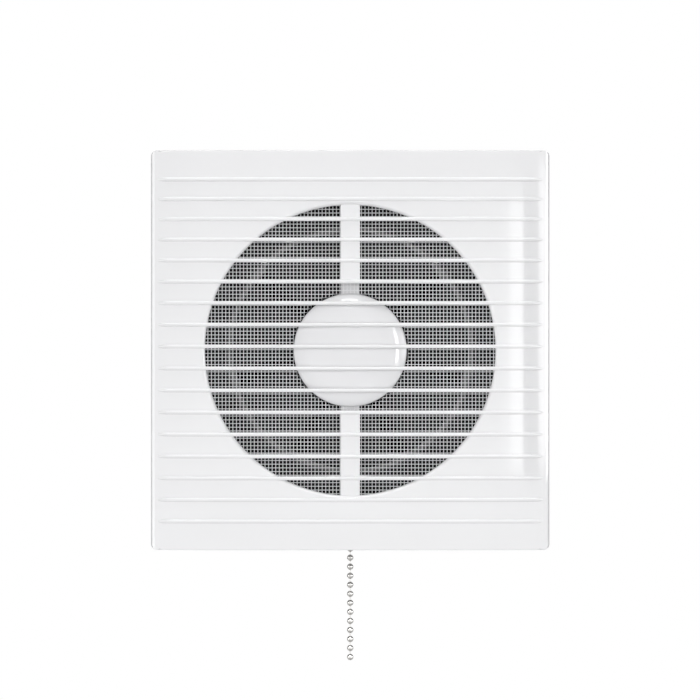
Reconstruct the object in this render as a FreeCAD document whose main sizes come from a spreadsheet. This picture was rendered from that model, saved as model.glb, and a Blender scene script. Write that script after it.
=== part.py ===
import FreeCAD
import Part
import Sketcher
import math
import os
from types import SimpleNamespace

# Wall-mounted axial exhaust fan for a 100 mm duct: a square ribbed cover with an insect net, a casing with
# a spigot, a shaded-pole motor with a seven-blade impeller, and a switch worked by a bead chain.
# Millimetres. As one faces the fan, X runs to the right, Z up and Y back into the wall. The origin is on
# the wall plane and on the fan's axis. A size called a front or a rear is a distance in front of the wall.

SIZES = {
    # Cover: a tray whose face falls away towards its left and right sides
    "cover_width": 150.0,
    "cover_corner": 2.4,
    "cover_front": 27.0,
    "cover_rear": 1.5,
    "cover_wall": 1.8,
    "cover_clearance": 0.4,
    "face_thickness": 2.0,
    "face_bend": 11.0,
    "face_fall": 2.0,
    "face_bend_radius": 100.0,
    "face_edge_radius": 2.5,
    "opening_border": 20.5,
    "opening_rounding": 1.3,
    # Ribs over the face, which go on as slats across the opening; their pitch widens a little downwards
    "rib_count": 17,
    "rib_middle": 1.41,
    "rib_margin": 9.376,
    "rib_drift": 0.0226,
    "rib_easing": 0.003,
    "rib_thickness": 1.5,
    "rib_rounding": 0.65,
    "rib_stand": 1.2,
    "rib_root": 1.2,
    "rib_inset": 1.7,
    "rib_end_radius": 2.2,
    "slat_depth": 5.4,
    "slat_overlap": 1.0,
    # Strut behind the slats, and the number of ribs between its end and the middle rib
    "strut_width": 7.4,
    "strut_setback": 0.7,
    "strut_thickness": 1.9,
    "strut_rounding": 0.5,
    "strut_free_ribs": 3,
    # Collar, net and frame behind the opening
    "collar_inset": 0.7,
    "collar_wall": 2.2,
    "net_setback": 7.4,
    "net_thickness": 0.6,
    "net_pitch": 5.6,
    "net_wire": 0.8,
    "net_gap": 0.35,
    "frame_thickness": 1.6,
    # Pegs of the cover and their sockets in the casing
    "peg_radius": 2.4,
    "peg_clearance": 0.1,
    "peg_side_inset": 11.0,
    "peg_end_inset": 29.0,
    "peg_rear": 5.0,
    "socket_wall": 1.7,
    "socket_front": 13.0,
    # Casing
    "casing_wall": 2.0,
    "casing_floor": 2.0,
    "casing_front": 17.0,
    "casing_corner": 2.0,
    "screw_inset": 14.0,
    "screw_hole_radius": 2.25,
    "spigot_border": 26.0,
    "spigot_wall": 2.2,
    "spigot_length": 54.0,
    "spigot_seat": 2.4,
    "socket_shoulder": 1.0,
    "socket_rim": 2.0,
    "spigot_relief": 1.0,
    "spigot_lead": 0.1,
    "bell_front": 16.6,
    "bell_radius": 10.0,
    "bell_lip": 1.8,
    # Motor bowl on two arms
    "bowl_wall": 1.2,
    "bowl_front": 14.7,
    "bowl_depth": 19.2,
    "bowl_floor": 1.5,
    "arm_width": 7.4,
    "arm_depth": 4.0,
    "arm_inset": 5.3,
    # Motor cap with a strip over each arm
    "cap_gap": 0.55,
    "cap_front": 22.5,
    "cap_crown": 3.4,
    "cap_crown_radius": 14.0,
    "cap_fall": 0.88,
    "cap_rounding": 0.9,
    "cap_wall": 1.6,
    "cap_seat_gap": 0.2,
    "strip_width": 7.0,
    "strip_thickness": 1.2,
    "strip_inset": 1.5,
    "cap_screw_inset": 8.5,
    "small_screw_radius": 0.9,
    "small_screw_head": 1.8,
    "small_screw_head_height": 0.9,
    "small_screw_clearance": 0.1,
    "cap_screw_length": 4.0,
    # Shaft and bearings
    "shaft_radius": 2.0,
    "shaft_front": 18.8,
    "shaft_length": 34.0,
    "running_clearance": 0.02,
    "seat_clearance": 0.01,
    "bearing_radius": 4.0,
    "bearing_length": 5.0,
    "bracket_thickness": 1.5,
    "bracket_clearance": 0.2,
    "boss_radius": 5.5,
    "boss_length": 2.6,
    "washer_radius": 3.6,
    "washer_thickness": 0.8,
    "washer_gap": 0.1,
    # Stator, coils and rotor
    "stator_clearance": 0.1,
    "stator_front": 11.2,
    "stator_length": 8.6,
    "yoke_width": 3.0,
    "air_gap": 0.4,
    "shoe_thickness": 1.8,
    "shoe_gap": 3.0,
    "pole_width": 6.0,
    "pole_count": 4,
    "bobbin_gap": 0.15,
    "bobbin_wall": 0.8,
    "bobbin_flange": 0.7,
    "coil_build": 1.3,
    "coil_gap": 0.05,
    "coil_rounding": 0.9,
    "coil_height": 2.4,
    "yoke_gap": 1.35,
    "rotor_overlap": 0.2,
    "end_ring_inner": 3.4,
    "end_ring_inset": 0.5,
    "end_ring_thickness": 1.4,
    "bolt_angle": 45.0,
    # Impeller
    "hub_radius": 21.4,
    "hub_gap": 0.8,
    "hub_front": 9.0,
    "hub_length": 18.6,
    "hub_wall": 1.4,
    "hub_floor": 1.8,
    "hub_rounding": 2.5,
    "hub_boss_radius": 4.8,
    "hub_boss_front": 6.4,
    "hub_boss_length": 5.0,
    "tip_clearance": 1.4,
    "blade_count": 7,
    "blade_span_angle": 42.0,
    "blade_front": 8.2,
    "blade_root_depth": 15.0,
    "blade_tip_depth": 12.0,
    "blade_thickness": 1.7,
    "blade_camber": 2.2,
    "blade_overrun": 3.0,
    "nut_radius": 3.9,
    "nut_thickness": 2.6,
    # Chain switch
    "chain_front": 8.5,
    "switch_width": 22.0,
    "switch_height": 15.4,
    "switch_depth": 9.4,
    "switch_wall": 1.4,
    "switch_gap": 0.2,
    "switch_cover_thickness": 1.2,
    "switch_screw_across": 8.2,
    "slide_clearance": 0.3,
    "slider_width": 8.8,
    "slider_depth": 5.6,
    "slider_height": 3.0,
    "stem_radius": 1.9,
    "bead_seat": 3.95,
    "stem_overhang": 1.45,
    "spring_wire": 0.25,
    "spring_clearance": 0.35,
    "spring_turns": 5,
    "spring_gap": 0.1,
    "terminal_width": 4.8,
    "terminal_thickness": 0.8,
    "terminal_length": 6.0,
    "terminal_drop": 3.0,
    "bush_wall": 1.0,
    "bush_flange": 1.2,
    "bush_flange_height": 0.7,
    "notch_width": 9.6,
    # Bead chain
    "bead_radius": 1.22,
    "bead_shell": 0.22,
    "bead_hole": 0.4,
    "bead_pitch": 3.45,
    "bead_play": 0.04,
    "tail_beads": 10,
    "link_wire": 0.21,
    "link_ball": 0.45,
    "link_seat": 0.52,
    # Supply terminals, cable clamp and cable entry
    "block_width": 26.0,
    "block_height": 13.0,
    "block_depth": 10.0,
    "block_gap": 10.0,
    "block_inset": 12.5,
    "block_step": 3.0,
    "block_ways": 3,
    "block_way_pitch": 8.0,
    "block_bore": 1.7,
    "block_screw_radius": 1.5,
    "block_screw_length": 2.5,
    "clamp_inset": 15.0,
    "clamp_rise": 28.0,
    "clamp_width": 17.0,
    "clamp_height": 6.0,
    "clamp_thickness": 2.0,
    "clamp_post": 4.5,
    "clamp_screw_across": 6.2,
    "clamp_screw_length": 5.5,
    "entry_rise": 12.5,
    "entry_radius": 6.0,
    "grommet_bore": 3.6,
    "grommet_groove": 0.1,
    "grommet_lip": 1.4,
    "grommet_lip_height": 1.2,
}

Vector = FreeCAD.Vector
doc = FreeCAD.newDocument("exhaust_fan")
sheet = doc.addObject("Spreadsheet::Sheet", "Sizes")
for row, (alias, number) in enumerate(SIZES.items(), start=1):
    sheet.set(f"A{row}", alias)
    sheet.set(f"B{row}", str(number))
    sheet.setAlias(f"B{row}", alias)
doc.recompute()


class Size:
    """A length, angle or count, held both as a number and as a formula over the sheet's cells."""

    def __init__(self, number, formula):
        self.number = float(number)
        self.formula = formula

    def join(self, sign, other, number):
        return Size(number, f"({self.formula} {sign} {as_size(other).formula})")

    def __add__(self, other):
        return self.join("+", other, self.number + as_size(other).number)

    def __sub__(self, other):
        return self.join("-", other, self.number - as_size(other).number)

    def __mul__(self, other):
        return self.join("*", other, self.number * as_size(other).number)

    def __truediv__(self, other):
        return self.join("/", other, self.number / as_size(other).number)

    def __neg__(self):
        return as_size(0) - self

    def __rmul__(self, other):
        return as_size(other) * self

    def __int__(self):
        return round(self.number)


def as_size(value):
    return value if isinstance(value, Size) else Size(value, repr(float(value)))


def tangent(angle):
    return Size(math.tan(math.radians(angle.number)), f"tan({angle.formula})")


S = SimpleNamespace(**{alias: Size(sheet.get(alias), f"Sizes.{alias}") for alias in SIZES})
NOTHING = as_size(0)
SUB_PARTS = []


def bind(thing, path, value):
    thing.setExpression(path, as_size(value).formula)


def keep(thing, label):
    """Give a finished sub-part the name that its file takes."""
    thing.Label = label
    SUB_PARTS.append(thing)
    return thing


def new_body(name):
    return doc.addObject("PartDesign::Body", name)


def origin_feature(body, role):
    return next(feature for feature in body.Origin.OriginFeatures if feature.Role == role)


def new_sketch(body, name, plane, offset=NOTHING):
    """A sketch on one of the body's own planes, moved along that plane's normal by an offset.

    On XZ the normal points to the front, so the offset is a distance in front of the wall."""
    sketch = body.newObject("Sketcher::SketchObject", name)
    sketch.AttachmentSupport = (origin_feature(body, plane), [""])
    sketch.MapMode = "FlatFace"
    bind(sketch, "AttachmentOffset.Base.z", offset)
    return sketch


class Via:
    """A point that the side between two corners passes through as an arc."""

    def __init__(self, across, up):
        self.place = (as_size(across), as_size(up))


def arc_through(start, middle, end):
    """An arc of a sketch with the vertex numbers of its start and end, since its own run is left-handed."""
    whole = Part.Arc(start, middle, end).toShape().Curve
    centre = whole.Center
    turn = (middle - start).cross(end - middle).z
    first, last = (start, end) if turn > 0 else (end, start)
    low = math.atan2(first.y - centre.y, first.x - centre.x)
    high = math.atan2(last.y - centre.y, last.x - centre.x)
    circle = Part.Circle(centre, Vector(0, 0, 1), whole.Radius)
    curve = Part.ArcOfCircle(circle, low, high if high > low else high + 2 * math.pi)
    return curve, (1, 2) if turn > 0 else (2, 1)


class Drawing:
    """Collects the geometry and the sized constraints of one sketch, and adds them together."""

    def __init__(self, sketch):
        self.sketch = sketch
        self.shapes = []
        self.rules = []

    def add(self, shape, construction=False):
        self.shapes.append((shape, construction))
        return len(self.shapes) - 1

    def rule(self, *terms, size=None):
        numbers = terms if size is None else (*terms, size.number)
        self.rules.append((Sketcher.Constraint(*numbers), size))

    def place(self, shape, vertex, across, up):
        self.rule("DistanceX", -1, 1, shape, vertex, size=as_size(across))
        self.rule("DistanceY", -1, 1, shape, vertex, size=as_size(up))

    def circle(self, across, up, radius):
        centre = Vector(as_size(across).number, as_size(up).number, 0)
        shape = self.add(Part.Circle(centre, Vector(0, 0, 1), as_size(radius).number))
        self.place(shape, 3, across, up)
        self.rule("Radius", shape, size=as_size(radius))

    def rectangle(self, left, right, low, high, *rounding):
        self.outline((left, low, *rounding), (right, low, *rounding),
                     (right, high, *rounding), (left, high, *rounding))

    def outline(self, *stops):
        """One closed loop of corners (across, up) or (across, up, rounding), with arcs where a Via stands."""
        corners = [tuple(as_size(value) for value in stop) for stop in stops if not isinstance(stop, Via)]
        vias = []
        for stop in stops:
            if isinstance(stop, Via):
                vias[-1] = stop
            else:
                vias.append(None)
        count = len(corners)
        points = [Vector(corner[0].number, corner[1].number, 0) for corner in corners]
        arrive, leave, arcs = list(points), list(points), [None] * count
        for index, corner in enumerate(corners):
            if len(corner) == 3:
                back = (points[index - 1] - points[index]).normalize()
                ahead = (points[(index + 1) % count] - points[index]).normalize()
                half = back.getAngle(ahead) / 2
                radius = corner[2].number
                arrive[index] = points[index] + back * (radius / math.tan(half))
                leave[index] = points[index] + ahead * (radius / math.tan(half))
                inward = (back + ahead).normalize()
                middle = points[index] + inward * (radius / math.sin(half) - radius)
                arcs[index] = arc_through(arrive[index], middle, leave[index])
        sides = []
        for index, via in enumerate(vias):
            start, end = leave[index], arrive[(index + 1) % count]
            if via is None:
                sides.append((self.add(Part.LineSegment(start, end)), (1, 2)))
            else:
                middle = Vector(via.place[0].number, via.place[1].number, 0)
                curve, ends = arc_through(start, middle, end)
                sides.append((self.add(curve), ends))
                pivot = self.add(Part.Point(middle), construction=True)
                self.place(pivot, 1, *via.place)
                self.rule("PointOnObject", pivot, 1, sides[-1][0])
        for index, corner in enumerate(corners):
            before, after = sides[index - 1], sides[index]
            if arcs[index] is None:
                self.rule("Coincident", before[0], before[1][1], after[0], after[1][0])
                self.place(after[0], after[1][0], corner[0], corner[1])
            else:
                curve, ends = arcs[index]
                arc = self.add(curve)
                tip = self.add(Part.Point(points[index]), construction=True)
                self.rule("Tangent", before[0], before[1][1], arc, ends[0])
                self.rule("Tangent", arc, ends[1], after[0], after[1][0])
                self.rule("Radius", arc, size=corner[2])
                self.place(tip, 1, corner[0], corner[1])
                self.rule("PointOnObject", tip, 1, before[0])
                self.rule("PointOnObject", tip, 1, after[0])

    def finish(self):
        for shape, construction in self.shapes:
            self.sketch.addGeometry(shape, construction)
        for index, number in enumerate(self.sketch.addConstraint([rule for rule, _ in self.rules])):
            size = self.rules[index][1]
            if size is not None:
                bind(self.sketch, f"Constraints[{number}]", size)
        return self.sketch


def extrude(body, kind, name, sketch, length, reverse=False, symmetric=False):
    """A pad or pocket of a sketch. A pad runs along the sketch's normal and a pocket against it."""
    feature = body.newObject(f"PartDesign::{kind}", name)
    feature.Profile = sketch
    bind(feature, "Length", length)
    feature.Reversed = reverse
    feature.SideType = "Symmetric" if symmetric else "One side"
    return feature


def turn(body, kind, name, *stops):
    """A full turn of one outline, drawn as (radius, Y), about the fan's axis."""
    drawing = Drawing(new_sketch(body, f"{name}_outline", "XY_Plane"))
    drawing.outline(*stops)
    sketch = drawing.finish()
    feature = body.newObject(f"PartDesign::{kind}", name)
    feature.Profile = sketch
    feature.ReferenceAxis = (sketch, ["V_Axis"])
    feature.Angle = 360
    return feature


def ring(body, kind, name, inner, outer, front, rear):
    """A turned ring or, with no inner radius, a disc between two distances in front of the wall."""
    return turn(body, kind, name, (inner, -front), (outer, -front), (outer, -rear), (inner, -rear))


def around_axis(body, name, feature, count):
    """Repeat a feature evenly about the fan's axis."""
    doc.recompute()
    pattern = body.newObject("PartDesign::PolarPattern", name)
    pattern.Originals = [feature]
    pattern.Axis = (origin_feature(body, "Y_Axis"), [""])
    pattern.Angle = 360
    bind(pattern, "Occurrences", count)
    body.Tip = pattern
    return pattern


def round_edges(body, name, radius, wanted):
    """Fillet the edges of the body's last feature that a test picks."""
    doc.recompute()
    base = body.Tip
    names = [f"Edge{number}" for number, edge in enumerate(base.Shape.Edges, start=1) if wanted(edge)]
    fillet = body.newObject("PartDesign::Fillet", name)
    fillet.Base = (base, names)
    bind(fillet, "Radius", radius)
    return fillet


def cylinder(name, radius, low, length, axis=Vector(0, 1, 0)):
    """A Part cylinder that starts at a point (sizes) and runs along +Y, or along another axis."""
    thing = doc.addObject("Part::Cylinder", name)
    bind(thing, "Radius", radius)
    bind(thing, "Height", length)
    return put(thing, low, axis)


def put(thing, low, axis=Vector(0, 0, 1)):
    """Place a Part primitive: its own Z turned to an axis, its corner or base centre at a point."""
    thing.Placement.Rotation = FreeCAD.Rotation(Vector(0, 0, 1), axis)
    for direction, value in zip("xyz", low):
        bind(thing, f"Placement.Base.{direction}", value)
    return thing


def box(name, low, length, width, height):
    thing = doc.addObject("Part::Box", name)
    bind(thing, "Length", length)
    bind(thing, "Width", width)
    bind(thing, "Height", height)
    return put(thing, low)


def fuse(name, *shapes, refine=True):
    thing = doc.addObject("Part::MultiFuse", name)
    thing.Shapes = list(shapes)
    thing.Refine = refine
    return thing


def cut(name, base, *tools):
    thing = doc.addObject("Part::Cut", name)
    thing.Base = base
    thing.Tool = tools[0] if len(tools) == 1 else fuse(f"{name}_tools", *tools)
    return thing


def common(name, first, second):
    thing = doc.addObject("Part::MultiCommon", name)
    thing.Shapes = [first, second]
    return thing


def group(name, shapes):
    thing = doc.addObject("Part::Compound", name)
    thing.Links = list(shapes)
    return thing


def four_corners(across, up):
    return [(side * across, height * up) for side in (-1, 1) for height in (-1, 1)]


# Sizes that several pieces share
half_cover = S.cover_width / 2
half_casing = half_cover - S.cover_wall - S.cover_clearance
opening_radius = half_cover - S.opening_border
rib_pitch = (S.cover_width - S.rib_margin * 2) / (S.rib_count - 1)
screw_reach = half_cover - S.screw_inset
peg_places = (half_cover - S.peg_side_inset, half_cover - S.peg_end_inset)
face_back = S.cover_front - S.face_thickness
rib_front = S.cover_front + S.rib_stand
slat_back = rib_front - S.slat_depth
collar_inner = opening_radius + S.collar_inset
collar_outer = collar_inner + S.collar_wall
net_front = S.cover_front - S.net_setback
net_back = net_front - S.net_thickness
spigot_radius = half_cover - S.spigot_border
spigot_bore = spigot_radius - S.spigot_wall
spigot_end = spigot_radius - S.spigot_relief
spigot_socket = spigot_end + S.seat_clearance
lead_depth = S.spigot_lead + S.seat_clearance
bell_centre = spigot_bore + S.bell_radius
bell_rim = bell_centre + S.bell_lip
arm_reach = bell_centre - S.arm_inset
strip_reach = arm_reach - S.strip_inset
cap_screw_reach = arm_reach - S.cap_screw_inset
bowl_radius = S.hub_radius - S.hub_wall - S.hub_gap
bowl_bore = bowl_radius - S.bowl_wall
coil_depth = S.bobbin_gap + S.bobbin_flange + S.coil_gap * 2 + S.coil_height
shoe_radius = bowl_bore - S.stator_clearance - S.yoke_width - S.yoke_gap - coil_depth
stator_bore = shoe_radius - S.shoe_thickness
rotor_radius = stator_bore - S.air_gap
cap_radius = bowl_radius + S.cap_gap + S.cap_wall
net_hole = cap_radius + S.net_gap
bowl_back = S.bowl_front - S.bowl_depth
bowl_inside = bowl_back + S.bowl_floor
cap_rear = S.bowl_front + S.cap_seat_gap
small_hole = S.small_screw_radius + S.small_screw_clearance
middle_rib = (int(S.rib_count) - 1) // 2
block_left = (S.switch_width + S.block_width) / 2 + S.terminal_length + S.block_gap
block_down = half_cover - S.block_inset
clamp_left = half_cover - S.clamp_inset
clamp_down = block_down - S.clamp_rise
entry_down = clamp_down - S.entry_rise


def rib_height(step):
    """Height of a rib's middle, counted in steps downwards from the middle rib."""
    return S.rib_middle - rib_pitch * step - S.rib_drift * step ** 2 + S.rib_easing * step ** 3


def make_front_panel():
    """The cover: a shallow tray, its ribs and slats, two struts, the collar for the net and four pegs."""
    tray = new_body("cover_tray")
    drawing = Drawing(new_sketch(tray, "cover_square", "XZ_Plane", S.cover_rear))
    drawing.rectangle(-half_cover, half_cover, -half_cover, half_cover, S.cover_corner)
    extrude(tray, "Pad", "cover_block", drawing.finish(), S.cover_front - S.cover_rear)

    bend = half_cover - S.face_bend
    edge_front = S.cover_front - S.face_fall
    margin = S.cover_corner
    drawing = Drawing(new_sketch(tray, "face_section", "XY_Plane"))
    for side in (-1, 1):
        drawing.outline((side * (bend - S.face_bend), -S.cover_front),
                        (side * bend, -S.cover_front, S.face_bend_radius),
                        (side * half_cover, -edge_front, S.face_edge_radius),
                        (side * half_cover, -(edge_front - S.face_edge_radius * 2)),
                        (side * (half_cover + margin), -(edge_front - S.face_edge_radius * 2)),
                        (side * (half_cover + margin), -(S.cover_front + margin)),
                        (side * (bend - S.face_bend), -(S.cover_front + margin)))
    extrude(tray, "Pocket", "face_fall_cut", drawing.finish(), S.cover_width * 2, symmetric=True)

    inside = half_cover - S.cover_wall
    drawing = Drawing(new_sketch(tray, "cavity_section", "XY_Plane"))
    drawing.outline((-inside, margin), (-inside, -(edge_front - S.face_thickness)), (-bend, -face_back),
                    (bend, -face_back), (inside, -(edge_front - S.face_thickness)), (inside, margin))
    extrude(tray, "Pocket", "cover_cavity", drawing.finish(), inside * 2, symmetric=True)

    drawing = Drawing(new_sketch(tray, "opening_circle", "XZ_Plane", S.cover_front + margin))
    drawing.circle(0, 0, opening_radius)
    extrude(tray, "Pocket", "opening", drawing.finish(), S.face_thickness + margin * 2)
    round_edges(tray, "opening_edge", S.opening_rounding, lambda edge: (
        isinstance(edge.Curve, Part.Circle) and abs(edge.Curve.Radius - opening_radius.number) < 1e-6
        and edge.Curve.Center.y < -face_back.number - 1e-6))

    drawing = Drawing(new_sketch(tray, "chain_notch_square", "XY_Plane", -(half_cover + margin)))
    half_notch = S.notch_width / 2
    drawing.rectangle(-half_notch, half_notch, -(S.chain_front + half_notch), margin)
    extrude(tray, "Pocket", "chain_notch", drawing.finish(), S.cover_wall + margin * 2, reverse=True)

    bars = new_body("rib_bars")
    half_rib = S.rib_thickness / 2
    for step in range(-middle_rib, middle_rib + 1):
        name = f"rib_{step + middle_rib + 1}"
        height = rib_height(step)
        drawing = Drawing(new_sketch(bars, f"{name}_section", "YZ_Plane"))
        drawing.outline((-slat_back, height - half_rib), (-slat_back, height + half_rib),
                        (-rib_front, height + half_rib, S.rib_rounding),
                        (-rib_front, height - half_rib, S.rib_rounding))
        extrude(bars, "Pad", name, drawing.finish(), S.cover_width, symmetric=True)

    rib_end = half_cover - S.rib_inset
    rib_root = S.cover_front - S.rib_root
    plan = new_body("rib_plan")
    drawing = Drawing(new_sketch(plan, "rib_plan_outline", "XY_Plane"))
    drawing.outline((-rib_end, -(edge_front - S.rib_root)), (-rib_end, -rib_front, S.rib_end_radius),
                    (rib_end, -rib_front, S.rib_end_radius), (rib_end, -(edge_front - S.rib_root)),
                    (bend, -rib_root), (-bend, -rib_root))
    extrude(plan, "Pad", "rib_plan_pad", drawing.finish(), S.cover_width, symmetric=True)
    well = cylinder("slat_well", opening_radius + S.slat_overlap, (0, -rib_front, 0), S.slat_depth)
    ribs = common("ribs", bars, fuse("rib_room", plan, well))

    strut_front = S.cover_front - S.strut_setback
    strut_end = opening_radius + S.slat_overlap
    struts = []
    for name, side in (("upper_strut", 1), ("lower_strut", -1)):
        strut = new_body(name)
        drawing = Drawing(new_sketch(strut, f"{name}_section", "XY_Plane",
                                     rib_height(-int(S.strut_free_ribs) * side)))
        half_strut = S.strut_width / 2
        strut_back = strut_front - S.strut_thickness
        drawing.outline((-half_strut, -strut_back), (-half_strut, -strut_front, S.strut_rounding),
                        (half_strut, -strut_front, S.strut_rounding), (half_strut, -strut_back))
        reach = strut_end - side * rib_height(-int(S.strut_free_ribs) * side)
        extrude(strut, "Pad", f"{name}_pad", drawing.finish(), reach, reverse=side < 0)
        struts.append(strut)

    collar = new_body("net_collar")
    ring(collar, "Revolution", "collar_ring", collar_inner, collar_outer, face_back + S.face_thickness / 2,
         net_front)
    pegs = [cylinder(f"peg_{number}", S.peg_radius, (across, -(face_back + S.face_thickness / 4), up),
                     face_back + S.face_thickness / 4 - S.peg_rear)
            for number, (across, up) in enumerate(four_corners(*peg_places), start=1)]
    keep(fuse("front_panel", tray, ribs, *struts, collar, *pegs), "front_panel")


def make_insect_net():
    """A moulded net: one face with square gaps inside a plain rim at the collar and round the motor cap."""
    count = int(collar_inner / S.net_pitch) + 1
    pitch, half_gap = S.net_pitch.number, (S.net_pitch.number - S.net_wire.number) / 2
    outer, inner = collar_inner.number, net_hole.number + S.net_wire.number
    gaps = []
    for column in range(-count, count + 1):
        for row in range(-count, count + 1):
            x, z = column * pitch, row * pitch
            corners = [Vector(x + across * half_gap, 0, z + up * half_gap)
                       for across, up in ((-1, -1), (1, -1), (1, 1), (-1, 1))]
            reach = [corner.Length for corner in corners]
            if max(reach) < outer and min(reach) > inner:
                gaps.append(Part.makePolygon(corners + corners[:1]))
    circles = [Part.Wire(Part.makeCircle(radius, Vector(0, 0, 0), Vector(0, 1, 0)))
               for radius in (collar_outer.number, net_hole.number)]
    face = Part.Face([circles[0], circles[1], *gaps], "Part::FaceMakerBullseye")
    net = doc.addObject("Part::Feature", "insect_net")
    net.Shape = face.extrude(Vector(0, S.net_thickness.number, 0))
    net.Placement.Base = Vector(0, -net_front.number, 0)
    print("net gaps", len(gaps))
    keep(net, "insect_net")


def make_net_frame():
    """The flat ring that is welded behind the net's rim and holds it to the collar."""
    frame = new_body("net_frame")
    ring(frame, "Revolution", "net_frame_ring", collar_inner, collar_outer, net_back,
         net_back - S.frame_thickness)
    keep(frame, "net_frame")


def make_motor_cap():
    """The round cap over the motor, with a strip up and down that hides the casing's arms."""
    cap = new_body("motor_cap")
    bore = cap_radius - S.cap_wall
    turn(cap, "Revolution", "cap_cup", (NOTHING, -S.cap_front),
         (cap_radius - S.cap_crown, -S.cap_front, S.cap_crown_radius),
         (cap_radius, -(S.cap_front - S.cap_fall), S.cap_rounding), (cap_radius, -cap_rear),
         (bore, -cap_rear), (bore, -(S.cap_front - S.cap_wall)), (NOTHING, -(S.cap_front - S.cap_wall)))
    drawing = Drawing(new_sketch(cap, "strip_outlines", "XZ_Plane", cap_rear))
    half_strip = S.strip_width / 2
    start = bore + S.cap_wall / 2
    for side in (-1, 1):
        drawing.rectangle(-half_strip, half_strip, side * start, side * strip_reach)
    extrude(cap, "Pad", "strips", drawing.finish(), S.strip_thickness)
    drawing = Drawing(new_sketch(cap, "strip_holes", "XZ_Plane", cap_rear + S.strip_thickness))
    for side in (-1, 1):
        drawing.circle(0, side * cap_screw_reach, small_hole)
    extrude(cap, "Pocket", "strip_hole_cut", drawing.finish(), S.strip_thickness)
    keep(cap, "motor_cap")


def small_screw(name, across, head_rear, up, length):
    """A small pan-head screw driven towards the wall, its head resting at a distance from the wall."""
    shank = cylinder(f"{name}_shank", S.small_screw_radius, (across, -head_rear, up), length)
    head = cylinder(f"{name}_head", S.small_screw_head,
                    (across, -(head_rear + S.small_screw_head_height), up), S.small_screw_head_height)
    return fuse(name, head, shank)


def make_cap_screws():
    screws = [small_screw(f"cap_screw_{number}", 0, cap_rear + S.strip_thickness, side * cap_screw_reach,
                          S.cap_screw_length)
              for number, side in ((1, 1), (2, -1))]
    keep(group("cap_screws", screws), "cap_screws")


def bolt_circle():
    """The two places of the motor bolts, in the middle of the yoke's width."""
    reach = bowl_bore - S.stator_clearance - S.yoke_width / 2
    across = reach * Size(math.sin(math.radians(S.bolt_angle.number)), f"sin({S.bolt_angle.formula})")
    up = reach * Size(math.cos(math.radians(S.bolt_angle.number)), f"cos({S.bolt_angle.formula})")
    return [(across, up), (-across, -up)]


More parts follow.
